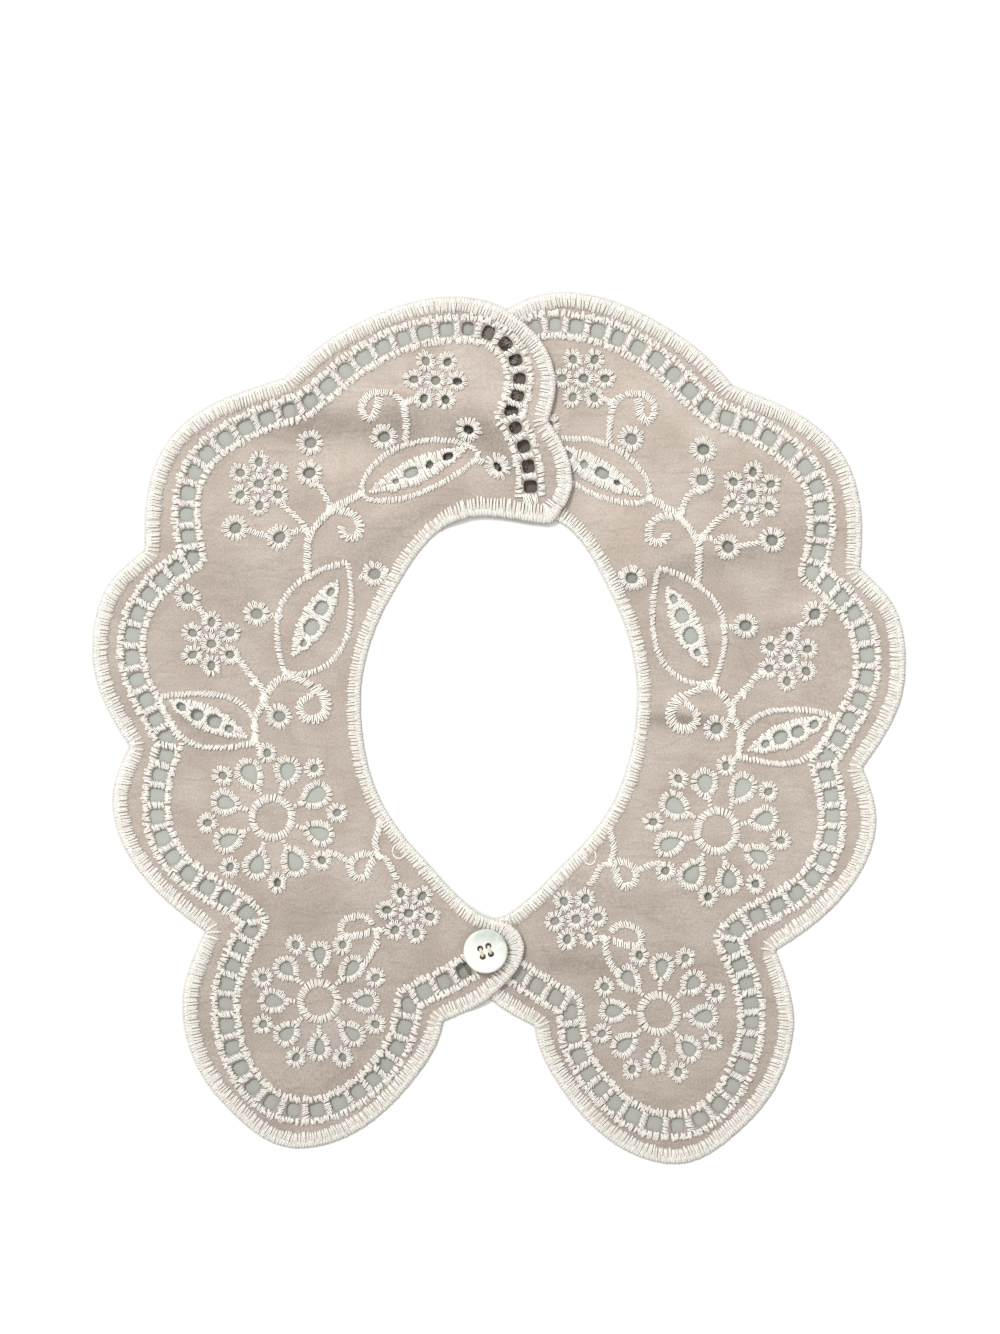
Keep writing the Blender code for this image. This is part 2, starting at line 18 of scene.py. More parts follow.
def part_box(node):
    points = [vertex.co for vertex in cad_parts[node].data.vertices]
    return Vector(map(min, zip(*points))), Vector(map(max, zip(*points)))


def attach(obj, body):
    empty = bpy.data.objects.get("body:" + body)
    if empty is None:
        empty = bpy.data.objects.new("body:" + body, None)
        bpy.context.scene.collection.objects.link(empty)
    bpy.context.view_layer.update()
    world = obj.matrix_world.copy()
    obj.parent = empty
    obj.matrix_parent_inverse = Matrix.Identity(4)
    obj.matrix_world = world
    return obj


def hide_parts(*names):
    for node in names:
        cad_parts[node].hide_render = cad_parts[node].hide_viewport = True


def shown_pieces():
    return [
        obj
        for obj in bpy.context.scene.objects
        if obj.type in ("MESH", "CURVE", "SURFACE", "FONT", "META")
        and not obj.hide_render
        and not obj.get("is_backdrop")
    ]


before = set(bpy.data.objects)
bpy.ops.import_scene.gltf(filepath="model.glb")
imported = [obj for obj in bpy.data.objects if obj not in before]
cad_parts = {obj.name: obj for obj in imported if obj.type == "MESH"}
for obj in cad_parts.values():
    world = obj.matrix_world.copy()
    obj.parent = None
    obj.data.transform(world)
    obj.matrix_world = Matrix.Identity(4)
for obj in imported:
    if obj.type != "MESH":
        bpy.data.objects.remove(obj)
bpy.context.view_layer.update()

MM = 0.001

# %% [markdown]
# The camera and the light
#
# A flat textile is photographed from straight above, so that nothing is foreshortened. A long lens
# keeps the lines of sight nearly parallel. The collar lies a little below the middle of the picture.
# The light is a broad lamp to the upper left, with a bright, even surround: it leaves a narrow soft
# shadow beside each raised edge, which is what makes thread look raised. The white table glows a
# little, as paper on a light box does, so that the shadows on it stay pale: the glow is painted light.

# %% Camera
PICTURE_HEIGHT = 453.6 * MM
PICTURE_MIDDLE = (0.3 * MM, 20.8 * MM)
LENS = 100.0
SENSOR = 36.0


def in_scene(name, data):
    """A new object in the scene, from the data of a camera, a lamp or a mesh."""
    made = bpy.data.objects.new(name, data)
    bpy.context.scene.collection.objects.link(made)
    return made


camera_data = bpy.data.cameras.new("camera")
camera_data.lens = LENS
camera_data.sensor_width = SENSOR
camera_data.clip_start = 0.01
camera_data.clip_end = 10
camera = in_scene("camera", camera_data)
camera.location = (*PICTURE_MIDDLE, PICTURE_HEIGHT * LENS / SENSOR)
bpy.context.scene.camera = camera
print("camera height above the table, in m:", round(camera.location.z, 3))

# %% Light, and a plain table
SUN_STRENGTH = 1.95
SUN_AIM = (0.50, -0.62, -1.0)
SUN_SPREAD = 14
SURROUND = 0.82
SURROUND_COLOUR = (1, 0.99, 0.975)
TABLE_SIZE = 3.0
TABLE_DROP = 0.05 * MM
TABLE_COLOUR = (0.9, 0.9, 0.9)
# The table's glow is painted light, though the table is no lamp: it keeps the shadows on the table pale.
TABLE_PAINTED_GLOW = 0.2


def new_material(name, roughness, specular=0.3):
    """A material with its Principled shader, ready for colours and heights."""
    material = bpy.data.materials.new(name)
    material.use_nodes = True
    shader = material.node_tree.nodes["Principled BSDF"]
    shader.inputs["Roughness"].default_value = roughness
    shader.inputs["Specular IOR Level"].default_value = specular
    return material, material.node_tree, shader


window = bpy.data.lights.new("window", "SUN")
window.energy = SUN_STRENGTH
window.angle = math.radians(SUN_SPREAD)
sun = in_scene("window", window)
sun.rotation_mode = "QUATERNION"
sun.rotation_quaternion = Vector(SUN_AIM).to_track_quat("-Z", "Y")
world = bpy.data.worlds.new("surround")
world.use_nodes = True
background = world.node_tree.nodes["Background"]
background.inputs["Color"].default_value = (*SURROUND_COLOUR, 1)
background.inputs["Strength"].default_value = SURROUND
bpy.context.scene.world = world
bpy.context.scene.view_settings.view_transform = "Standard"

bpy.ops.mesh.primitive_plane_add(size=TABLE_SIZE, location=(0, 0, -TABLE_DROP))
table = bpy.context.object
table.name = "table"
white_table, _, white = new_material("white_table", 0.9, 0.2)
white.inputs["Base Color"].default_value = (*TABLE_COLOUR, 1)
white.inputs["Emission Color"].default_value = (1, 1, 1, 1)
white.inputs["Emission Strength"].default_value = TABLE_PAINTED_GLOW
table.data.materials.append(white_table)
table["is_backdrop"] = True
print("light and table:", sun.name, world.name, table.name)

# %% [markdown]
# The pattern
#
# Both halves are cut from one pattern. Its lines are short tables: each row is a place where the line
# turns, with the heading on arriving and on leaving, and a Bezier stretch joins each two rows, as a
# dressmaker's curve joins marks on paper. All sizes are in millimetres, seen from above.

# %% The tables of the edges and the ladder
# The outer edge, from the foot of the back end round to the front tip.
# Columns: x, y, heading on arriving, heading on leaving (degrees from +X).
OUTER_EDGE = [
    (21.8, 74.3, 55, 55),
    (24.9, 83.1, 90, 90),
    (16.6, 103.9, 128, 68),
    (19.2, 116.5, 90, 90),
    (7.5, 137.9, 142, 142),
    (-15.0, 145.8, 180, 180),
    (-50.7, 135.2, 208, 208),
    (-72.4, 118.2, 228, 198),
    (-109.0, 100.6, 226, 226),
    (-119.9, 60.0, 272, 222),
    (-132.9, 47.1, 240, 240),
    (-137.7, 25.3, 270, 270),
    (-125.1, -6.6, 304, 245),
    (-130.9, -25.0, 270, 270),
    (-122.1, -48.8, 307, 307),
    (-99.3, -69.5, 326, 246),
    (-107.1, -94.7, 270, 270),
    (-94.2, -127.0, 313, 313),
    (-68.3, -143.0, 0, 0),
    (-31.3, -122.6, 50, 50),
    (-19.0, -100.1, 80, 25),
    (-3.4, -92.0, 40, 40),
    (8.5, -75.3, 88, 88),
    (1.5, -66.3, 165, 165),
]
# The neck edge, from the front tip back to the back end. Columns as above.
NECK_EDGE = [
    (1.5, -66.3, 165, 165),
    (-6.9, -63.7, 146, 146),
    (-26.9, -43.7, 133, 133),
    (-42.6, -19.9, 110, 110),
    (-47.2, 7.0, 91, 91),
    (-37.1, 43.9, 60, 60),
    (-23.5, 63.9, 46, 46),
    (-9.5, 71.4, 10, 10),
    (16.5, 69.2, 359, 359),
    (21.8, 74.3, 55, 55),
]
# The middle of the ladder. Columns as above, and the number of holes from the back end so far.
LADDER = [
    (10.9, 78.0, 90, 90, 0.5),
    (3.4, 104.9, 128, 66, 4.6),
    (7.1, 118.0, 93, 93, 7.0),
    (0.3, 131.6, 145, 145, 9.4),
    (-13.3, 135.2, 181, 181, 11.4),
    (-32.3, 131.9, 199, 199, 14.0),
    (-52.0, 120.9, 219, 219, 17.0),
    (-66.6, 108.8, 215, 197, 19.4),
    (-86.0, 101.8, 208, 208, 22.0),
    (-101.7, 89.6, 236, 236, 24.5),
    (-106.1, 73.6, 268, 268, 26.8),
    (-103.9, 57.4, 283, 212, 29.0),
    (-119.3, 44.4, 234, 234, 32.1),
    (-124.8, 26.0, 270, 270, 34.7),
    (-119.7, 9.0, 297, 297, 37.0),
    (-111.5, -6.0, 303, 245, 39.4),
    (-116.3, -26.7, 271, 271, 42.5),
    (-110.8, -44.4, 306, 306, 45.0),
    (-92.5, -58.3, 331, 331, 48.0),
    (-82.9, -66.4, 310, 242, 49.5),
    (-92.8, -94.0, 270, 270, 54.0),
    (-83.0, -122.9, 311, 311, 58.1),
    (-66.5, -130.6, 0, 0, 60.4),
    (-47.6, -123.9, 38, 38, 63.0),
    (-34.7, -109.3, 62, 62, 66.0),
    (-30.2, -92.3, 82, 25, 68.3),
    (-8.5, -80.8, 33, 33, 71.5),
]
print("rows in the tables:", len(OUTER_EDGE), len(NECK_EDGE), len(LADDER))


# %% Curves through the tables
def edge_curve(rows, step):
    """Points about step apart along a table's line, with the point's number at each row."""
    points = [np.array(rows[0][:2], float)]
    stations = [0]
    for start, end in zip(rows, rows[1:]):
        first = np.array(start[:2], float)
        last = np.array(end[:2], float)
        leave = math.radians(start[3])
        arrive = math.radians(end[2])
        chord = np.linalg.norm(last - first)
        turn = abs((arrive - leave + math.pi) % (2 * math.pi) - math.pi)
        reach = chord / (3 * math.cos(turn / 4) ** 2)
        near = first + reach * np.array([math.cos(leave), math.sin(leave)])
        far = last - reach * np.array([math.cos(arrive), math.sin(arrive)])
        count = max(2, round(chord / step))
        for index in range(1, count + 1):
            t = index / count
            u = 1 - t
            points.append(u**3 * first + 3 * u**2 * t * near + 3 * u * t**2 * far + t**3 * last)
        stations.append(len(points) - 1)
    return np.array(points), stations


def soft_line(places, step):
    """A smooth line through a few places, with points about step apart."""
    places = np.array(places, float)
    padded = np.vstack([2 * places[0] - places[1], places, 2 * places[-1] - places[-2]])
    points = []
    for a, b, c, d in zip(padded, padded[1:], padded[2:], padded[3:]):
        count = max(2, round(np.linalg.norm(c - b) / step))
        for t in np.arange(count) / count:
            points.append(0.5 * (2 * b + (c - a) * t + (2 * a - 5 * b + 4 * c - d) * t**2
                                 + (3 * b - a - 3 * c + d) * t**3))
    points.append(places[-1])
    return np.array(points)


def lengths_along(line):
    """The distance along a line to each of its points."""
    return np.concatenate([[0.0], np.cumsum(np.linalg.norm(np.diff(line, axis=0), axis=1))])


def at_distances(line, distances, look=1.2):
    """Places at distances along a line, with the direction that the line takes there."""
    along = lengths_along(line)
    place, ahead, behind = (
        np.column_stack([np.interp(distances + shift, along, line[:, axis]) for axis in (0, 1)])
        for shift in (0, look, -look))
    direction = ahead - behind
    return place, direction / np.linalg.norm(direction, axis=1)[:, None]


def left_of(direction):
    """The direction a quarter turn to the left."""
    return np.column_stack([-direction[:, 1], direction[:, 0]])


outer_edge = edge_curve(OUTER_EDGE, 1.0)[0]
neck_edge = edge_curve(NECK_EDGE, 1.0)[0]
ladder, ladder_stations = edge_curve(LADDER, 0.5)
print("outer edge of one half, in mm:", round(lengths_along(outer_edge)[-1]))
print("neck edge of one half, in mm:", round(lengths_along(neck_edge)[-1]))


# %% Distances from a line, and shapes that close
TINY = 1e-12


def distance_to_line(points, line, closed=False):
    """The distance from each point to the nearest place on a line."""
    ends = np.vstack([line, line[:1]]) if closed else line
    starts = ends[:-1]
    runs = ends[1:] - starts
    squares = np.maximum((runs**2).sum(axis=1), TINY)
    found = []
    for some in np.array_split(points, len(points) // 2000 + 1):
        offset = some[:, None, :] - starts[None, :, :]
        share = np.clip((offset * runs[None]).sum(axis=2) / squares[None], 0, 1)
        nearest = starts[None] + share[..., None] * runs[None]
        found.append(np.sqrt(((some[:, None, :] - nearest) ** 2).sum(axis=2)).min(axis=1))
    return np.concatenate(found)


def inside(points, loop):
    """Whether each point is inside a closed loop."""
    found = []
    x0, y0 = loop[:, 0][None], loop[:, 1][None]
    x1, y1 = np.roll(loop[:, 0], -1)[None], np.roll(loop[:, 1], -1)[None]
    rise = np.where(y1 == y0, TINY, y1 - y0)
    for some in np.array_split(points, len(points) // 4000 + 1):
        x = some[:, 0][:, None]
        y = some[:, 1][:, None]
        crosses = (y0 > y) != (y1 > y)
        found.append((crosses & (x < x0 + (y - y0) * (x1 - x0) / rise)).sum(axis=1) % 2 == 1)
    return np.concatenate(found)


def signed_distance(points, loop):
    """The distance from each point to a closed loop, below 0 inside it."""
    apart = distance_to_line(points, loop, True)
    return np.where(inside(points, loop), -apart, apart)


def around(x, y, radius, turn, count):
    """Places evenly round a centre, each with its heading from it."""
    angles = [math.radians(turn + 360 * index / count) for index in range(count)]
    return [((x + radius * math.cos(angle), y + radius * math.sin(angle)), angle) for angle in angles]


def oval(centre, heading, length, width, sides, drop=0.0, power=1.0):
    """A closed loop: an ellipse, squarer where power is under 1, narrower at its near end by drop."""
    angle = 2 * np.pi * (np.arange(sides) + 0.5) / sides
    u = np.sign(np.cos(angle)) * np.abs(np.cos(angle)) ** power * length / 2
    v = np.sign(np.sin(angle)) * np.abs(np.sin(angle)) ** power * width / 2
    v = v * (1 + drop * np.cos(angle))
    c, s = math.cos(heading), math.sin(heading)
    return np.column_stack([centre[0] + c * u - s * v, centre[1] + s * u + c * v])


print("how far in from the edge the ladder starts, in mm:",
      round(float(distance_to_line(ladder[:1], outer_edge)[0]), 1))

# %% [markdown]
# How the two halves lie
#
# The right half is the left one mirrored, eased a little as soft cloth lies, then turned and moved.
# The left half rides up over it at the back of the neck and at the front. Cloth that lies on a table
# is never quite flat either, so a few broad, shallow folds are added. All of this is one height for
# each place, kept on a fine grid, which the cloth and every stitch read, so that they can't part.

# %% Lay the halves out
RIGHT_EASE = (0.99, 1.014)
RIGHT_TURN = math.radians(-3.62)
RIGHT_MOVE = (0.24, 0.63)
MIDDLE = np.array([0.184, -0.557])
OUTLINE_STEP = 1.2
COARSE_STEP = 4.0
HALVES = ("left", "right")


def lay(points, half):
    """Points of the pattern where this half lies on the table."""
    points = np.asarray(points, float)
    if half == "left":
        return points - MIDDLE
    x = -points[..., 0] * RIGHT_EASE[0]
    y = points[..., 1] * RIGHT_EASE[1]
    c, s = math.cos(RIGHT_TURN), math.sin(RIGHT_TURN)
    return np.stack([x * c - y * s + RIGHT_MOVE[0], x * s + y * c + RIGHT_MOVE[1]], axis=-1) - MIDDLE


def closed_outline(step):
    """The whole cut edge of a half, as one loop of the pattern."""
    return np.vstack([edge_curve(OUTER_EDGE, step)[0][:-1], edge_curve(NECK_EDGE, step)[0][:-1]])


outlines = {half: lay(closed_outline(OUTLINE_STEP), half) for half in HALVES}
under_outline = lay(closed_outline(COARSE_STEP), "right")

# %% One height for each place
# The left half's rise over the right, with the distances over which it comes down. Then how high the
# cloth rests, its ripple and crumple, how far round the lap the right half lies low, and how low.
LAP_RISE = 1.75
LAP_MARGIN = 1.0
LAP_RAMP = 11.0
REST = 0.12
RIPPLE = 0.12
CRUMPLE = 0.05
PRESSED_REACH = 10.0
PRESSED_SHARE = 0.1
# Broad soft folds. Columns: half, x, y on the table, heading (degrees), length, width, height.
FOLDS = [
    ("left", -38.0, 107.5, -3, 80, 6, 1.3),
    ("left", -1.0, 97.0, -42, 36, 5, 1.3),
    ("left", -50.0, 91.0, 10, 34, 7, 0.9),
    ("left", -32.0, 73.0, 33, 50, 6, 1.0),
    ("left", -96.0, 58.0, 12, 46, 8, 0.7),
    ("left", -104.0, 6.0, -8, 34, 4, 0.7),
    ("left", -66.0, -55.0, -5, 66, 7, 0.9),
    ("left", -58.0, -116.0, 10, 50, 8, 0.5),
    ("left", -88.0, 14.0, 40, 50, 9, 0.4),
    ("right", 64.0, 4.6, -2, 34, 2.6, 0.9),
    ("right", 92.0, 36.0, 14, 54, 3.5, 0.8),
    ("right", 42.0, 76.0, -60, 40, 8, 1.0),
    ("right", 78.0, 61.0, 12, 62, 5, 0.9),
    ("right", 53.0, 54.0, 30, 28, 3.5, 0.7),
    ("right", 24.0, -76.0, -3, 44, 4, 1.0),
    ("right", 68.0, -56.0, -4, 64, 7, 0.9),
    ("right", 62.0, 103.0, -30, 60, 9, 0.8),
    ("right", 106.0, 10.0, 50, 44, 7, 0.5),
]
# The stitches are painted a little darker low in the front: painted shade. Rows: y on the table, shade.
PAINTED_LOW_SHADE = ([-150.0, -40.0], [0.16, 0.02])
GRID_STEP = 1.5
GRID_HALF = (145.5, 154.5)
# Over this distance in from the other half's edge, the painted shade grows to its full depth.
PAINTED_SHADE_RAMP = 3.0


def sum_of_ridges(rows, points, half):
    """The sum at each point of a table's long soft ridges that belong to a half."""
    total = np.zeros(len(points))
    for which, middle_x, middle_y, heading, length, width, size in rows:
        if which == half:
            c, s = math.cos(math.radians(heading)), math.sin(math.radians(heading))
            along = (points[:, 0] - middle_x) * c + (points[:, 1] - middle_y) * s
            across = -(points[:, 0] - middle_x) * s + (points[:, 1] - middle_y) * c
            total += size * np.exp(-((2 * along / length) ** 2) - (across / width) ** 2)
    return total


def smooth(share):
    """A share from 0 to 1 that starts and ends softly."""
    return share * share * (3 - 2 * share)


def height_grid(half):
    """The height of a half's underside, in millimetres, on a grid over the whole collar."""
    xs, ys = (np.arange(-reach, reach + GRID_STEP / 2, GRID_STEP) for reach in GRID_HALF)
    x, y = np.meshgrid(xs, ys)
    points = np.column_stack([x.ravel(), y.ravel()])
    x, y = points.T
    ripple = np.sin(x / 9 + 2) * np.sin(y / 7 - x / 40)
    crumple = np.sin(x / 4.3 - y / 11) * np.sin(y / 3.4 + x / 17)
    height = REST + RIPPLE * (1 + ripple) + CRUMPLE * (1 + crumple) + sum_of_ridges(FOLDS, points, half)
    if half == "left":
        apart = np.maximum(signed_distance(points, under_outline), 0)
        height += LAP_RISE * smooth(1 - np.clip((apart - LAP_MARGIN) / (LAP_RAMP - LAP_MARGIN), 0, 1))
    else:
        apart = np.maximum(signed_distance(points, outlines["left"]), 0)
        height = REST + (height - REST) * np.clip(apart / PRESSED_REACH, PRESSED_SHARE, 1)
    return height.reshape(len(ys), len(xs))


grids = {half: height_grid(half) for half in HALVES}


def covered_share(points, half):
    """Painted shade for lying under the other half: 0 outside it, 1 from a few millimetres in."""
    if half == "left":
        return np.zeros(len(points))
    return np.clip(-signed_distance(points, outlines["left"]) / PAINTED_SHADE_RAMP, 0, 1)


def painted_shade_share(points, half):
    """How much painted shade each place of the stitching gets: under the other half, or low in the front."""
    return np.maximum(covered_share(points, half), np.interp(points[:, 1], *PAINTED_LOW_SHADE))


def height_at(points, half):
    """The height of a half's underside at places on the table, read between the grid's points."""
    grid = grids[half]
    u = (points[..., 0] + GRID_HALF[0]) / GRID_STEP
    v = (points[..., 1] + GRID_HALF[1]) / GRID_STEP
    column = np.clip(u.astype(int), 0, grid.shape[1] - 2)
    row = np.clip(v.astype(int), 0, grid.shape[0] - 2)
    u = u - column
    v = v - row
    low = grid[row, column] * (1 - u) + grid[row, column + 1] * u
    high = grid[row + 1, column] * (1 - u) + grid[row + 1, column + 1] * u
    return low * (1 - v) + high * v


for half in HALVES:
    print(half, "half's highest underside, in mm:", round(float(grids[half].max()), 2))

# %% [markdown]
# The finishes
#
# Cotton lawn is matt, with a faint grain across it where some threads are thicker, and a slow change
# of tone. Embroidery thread is two strands twisted together, a little glossy, and no two stitches
# catch the light alike. Both effects are shader node groups that put out masks and heights.


# %% Helpers for shader nodes
def new_group(name, inputs, outputs):
    """An empty shader node group, with its float inputs and float outputs by name."""
    group = bpy.data.node_groups.new(name, "ShaderNodeTree")
    for side, titles in (("INPUT", inputs), ("OUTPUT", outputs)):
        for title in titles:
            group.interface.new_socket(title, in_out=side, socket_type="NodeSocketFloat")
    return group, group.nodes.new("NodeGroupInput"), group.nodes.new("NodeGroupOutput")


def add_node(tree, kind, label, **settings):
    """A node of a kind, with its settings and a label that says what it is for."""
    node = tree.nodes.new(kind)
    node.label = label
    for key, value in settings.items():
        setattr(node, key, value)
    return node


def feed(tree, socket, value):
    """Gives a socket a number, a colour or another node's socket."""
    if isinstance(value, (int, float)):
        socket.default_value = value
    elif isinstance(value, tuple):
        socket.default_value = (*value, 1)
    else:
        tree.links.new(value, socket)


def math_node(tree, label, operation, first, second):
    """A math node. Each of its two inputs is a number or another node's socket."""
    node = add_node(tree, "ShaderNodeMath", label, operation=operation)
    feed(tree, node.inputs[0], first)
    feed(tree, node.inputs[1], second)
    return node.outputs[0]


def attribute(tree, label, name):
    """The value that a mesh keeps at each of its points under a name."""
    return add_node(tree, "ShaderNodeAttribute", label, attribute_name=name).outputs["Fac"]


def noise(tree, label, places, scale, detail):
    """A noise texture on places, at a scale that is a number or another node's socket."""
    node = add_node(tree, "ShaderNodeTexNoise", label)
    node.inputs["Detail"].default_value = detail
    feed(tree, node.inputs["Scale"], scale)
    tree.links.new(places, node.inputs["Vector"])
    return node


# %% A shader node group for the grain of woven cloth
CREASE_SHARPNESS = 28.0
WEAVE = {"Slub per metre": 900.0, "Mottle per metre": 55.0, "Grain per metre": 1500.0,
         "Creases per metre": 75.0}


def stretched_places(group, label, scale):
    """The places on the cloth, drawn out along one way so that a texture on them is drawn out too."""
    coordinates = add_node(group, "ShaderNodeTexCoord", "places on the cloth")
    stretched = add_node(group, "ShaderNodeMapping", label)
    stretched.inputs["Scale"].default_value = scale
    group.links.new(coordinates.outputs["Object"], stretched.inputs["Vector"])
    return stretched.outputs["Vector"]


def build_grain_group():
    """Slub, mottle, fine grain and small creases of a plain cloth, from the places on it."""
    group, given, out = new_group("cloth_grain", WEAVE, ("Slub", "Mottle", "Grain", "Crease"))
    even = stretched_places(group, "even", (1.0, 1.0, 1.0))
    across = stretched_places(group, "long across, short along", (0.12, 1.0, 1.0))
    wavy = stretched_places(group, "somewhat longer across", (0.4, 1.0, 1.0))
    slub = noise(group, "thicker threads", across, given.outputs["Slub per metre"], 3).outputs["Fac"]
    mottle = noise(group, "slow change of tone", even, given.outputs["Mottle per metre"], 4).outputs["Fac"]
    grain = noise(group, "fine grain", even, given.outputs["Grain per metre"], 2).outputs["Fac"]
    wave = noise(group, "lie of the creases", wavy, given.outputs["Creases per metre"], 3).outputs["Fac"]
    level = math_node(group, "less a half", "SUBTRACT", wave, 0.5)
    offset = math_node(group, "either side of it", "ABSOLUTE", level, 0)
    narrow = math_node(group, "narrow", "MULTIPLY", offset, CREASE_SHARPNESS)
    line = math_node(group, "a line where it was level", "SUBTRACT", 1.0, narrow)
    crease = math_node(group, "only the lines", "MAXIMUM", line, 0.0)
    for name, value in (("Slub", slub), ("Mottle", mottle), ("Grain", grain), ("Crease", crease)):
        group.links.new(value, out.inputs[name])
    return group


grain_group = build_grain_group()
print("node group:", grain_group.name, "nodes:", len(grain_group.nodes))


# %% A shader node group for twisted strands
TWIST = {"Strands": 2.0, "Twists per mm": 0.9}


def build_twist_group():
    """The ridges of twisted strands, from each stitch's own length and girth."""
    group, given, out = new_group("thread_twist", TWIST, ("Ridge", "Stitch"))
    along = attribute(group, "mm along the stitch", "along")
    girth = attribute(group, "share of the way round it", "around")
    turned = math_node(group, "twists so far", "MULTIPLY", along, given.outputs["Twists per mm"])
    round_it = math_node(group, "strands round it", "MULTIPLY", girth, given.outputs["Strands"])
    both = math_node(group, "spiral", "ADD", turned, round_it)
    angle = math_node(group, "spiral in radians", "MULTIPLY", both, 2 * math.pi)
    group.links.new(math_node(group, "ridge", "SINE", angle, 0), out.inputs["Ridge"])
    group.links.new(attribute(group, "one number for each stitch", "stitch"), out.inputs["Stitch"])
    return group


twist_group = build_twist_group()
print("node group:", twist_group.name, "nodes:", len(twist_group.nodes))


# %% Helpers that mix, stretch and raise
def blend_colours(tree, factor, first, second):
    """A mix of two colours by a share. Each of the three is a constant or another node's socket."""
    mix = add_node(tree, "ShaderNodeMix", "blend", data_type="RGBA")
    feed(tree, mix.inputs["Factor"], factor)
    feed(tree, mix.inputs[6], first)
    feed(tree, mix.inputs[7], second)
    return mix.outputs[2]


def spread(tree, value, low, high):
    """A mask's middle values stretched to run from 0 to 1."""
    node = add_node(tree, "ShaderNodeMapRange", "stretch", clamp=True)
    node.inputs["From Min"].default_value = low
    node.inputs["From Max"].default_value = high
    tree.links.new(value, node.inputs["Value"])
    return node.outputs["Result"]


def bump(tree, shader, height, strength, distance):
    """Raises a shader's surface by a height."""
    node = add_node(tree, "ShaderNodeBump", "relief")
    node.inputs["Strength"].default_value = strength
    node.inputs["Distance"].default_value = distance
    tree.links.new(height, node.inputs["Height"])
    tree.links.new(node.outputs["Normal"], shader.inputs["Normal"])


def use_group(tree, group, values):
    """Places a node group in a material with its own values, and gives the group's outputs."""
    node = tree.nodes.new("ShaderNodeGroup")
    node.node_tree = group
    for title, value in values.items():
        node.inputs[title].default_value = value
    return node.outputs


# %% The cotton
CLOTH_DARK = (0.350, 0.288, 0.245)
CLOTH_MID = (0.412, 0.350, 0.300)
CLOTH_PALE = (0.490, 0.430, 0.378)
# The cloth's colour in painted shade, where the other half lies over it.
CLOTH_SHADE = (0.16, 0.135, 0.115)
DARK_SHARE = 0.3
# How strongly the painted light and shade change the cloth's colour.
PAINTED_LIGHT_CONTRAST = 0.21
GRAIN_CONTRAST = 0.65
# How much darker the creases are painted: painted shade in them.
CREASE_PAINTED_SHADE = 0.07
# The cloth's relief. Heights of crease and mottle are shares of the weave's own.
CREASE_DEPTH = -1.2
MOTTLE_SWELL = 5.0
CLOTH_RELIEF = 0.12 * MM


def cotton():
    """Dusty taupe-pink lawn: grain, mottle, small creases, painted light and shade of its soft folds."""
    material, tree, shader = new_material("taupe_cotton", 0.92, 0.15)
    shader.inputs["Sheen Weight"].default_value = 0.1
    weave = use_group(tree, grain_group, WEAVE)
    toned = blend_colours(tree, spread(tree, weave["Mottle"], 0.36, 0.64), CLOTH_MID, CLOTH_PALE)
    streaked = blend_colours(tree, spread(tree, weave["Slub"], 0.75, 0.35), toned, CLOTH_DARK)
    woven = blend_colours(tree, DARK_SHARE, toned, streaked)
    # Painted light and shade of the folds and along the collar, kept at each point as its tone.
    tone = attribute(tree, "tone of the folds", "tone")
    folds = math_node(tree, "folds' share", "MULTIPLY", tone, PAINTED_LIGHT_CONTRAST)
    middle = math_node(tree, "grain from its middle", "SUBTRACT", weave["Grain"], 0.5)
    speck = math_node(tree, "grain's share", "MULTIPLY", middle, GRAIN_CONTRAST)
    # Painted shade in the small creases.
    crease = math_node(tree, "creases' share", "MULTIPLY", weave["Crease"], -CREASE_PAINTED_SHADE)
    both = math_node(tree, "folds and grain", "ADD", folds, speck)
    value = math_node(tree, "all shares", "ADD", math_node(tree, "and creases", "ADD", both, crease), 1.0)
    brightness = add_node(tree, "ShaderNodeHueSaturation", "lighter and darker")
    tree.links.new(value, brightness.inputs["Value"])
    tree.links.new(woven, brightness.inputs["Color"])
    # Painted shade where the other half covers the cloth.
    covered = attribute(tree, "where the other half covers it", "covered")
    colour = blend_colours(tree, covered, brightness.outputs["Color"], CLOTH_SHADE)
    tree.links.new(colour, shader.inputs["Base Color"])
    relief = math_node(tree, "slub and grain", "ADD", weave["Slub"], weave["Grain"])
    sunk = math_node(tree, "creases' height", "MULTIPLY", weave["Crease"], CREASE_DEPTH)
    swell = math_node(tree, "mottle's height", "MULTIPLY", weave["Mottle"], MOTTLE_SWELL)
    low = math_node(tree, "fine relief", "ADD", relief, sunk)
    bump(tree, shader, math_node(tree, "all relief", "ADD", low, swell), 0.5, CLOTH_RELIEF)
    return material


cotton_cloth = cotton()
print("cloth:", cotton_cloth.name)


# %% The thread
THREAD_PALE = (0.945, 0.925, 0.875)
THREAD_WARM = (0.82, 0.785, 0.715)
# The thread's colour in painted shade: under the other half, and low in the front.
THREAD_SHADE = (0.24, 0.21, 0.18)
# The padding is the cream thread, painted darker: painted shade in the gaps between the satin stitches.
PADDING_SHADED_PALE = (0.54, 0.495, 0.43)
PADDING_SHADED_WARM = (0.48, 0.435, 0.37)
THREAD_RELIEF = 0.06 * MM


def floss(name, pale, warm):
    """Embroidery thread: twisted strands, each stitch its own shade between a pale and a warm one."""
    material, tree, shader = new_material(name, 0.62, 0.35)
    shader.inputs["Sheen Weight"].default_value = 0.2
    twist = use_group(tree, twist_group, TWIST)
    shade = blend_colours(tree, twist["Stitch"], pale, warm)
    # Painted shade: under the other half, and low in the front.
    covered = attribute(tree, "shade under the other half or low in the front", "covered")
    tree.links.new(blend_colours(tree, covered, shade, THREAD_SHADE), shader.inputs["Base Color"])
    bump(tree, shader, twist["Ridge"], 0.6, THREAD_RELIEF)
    return material


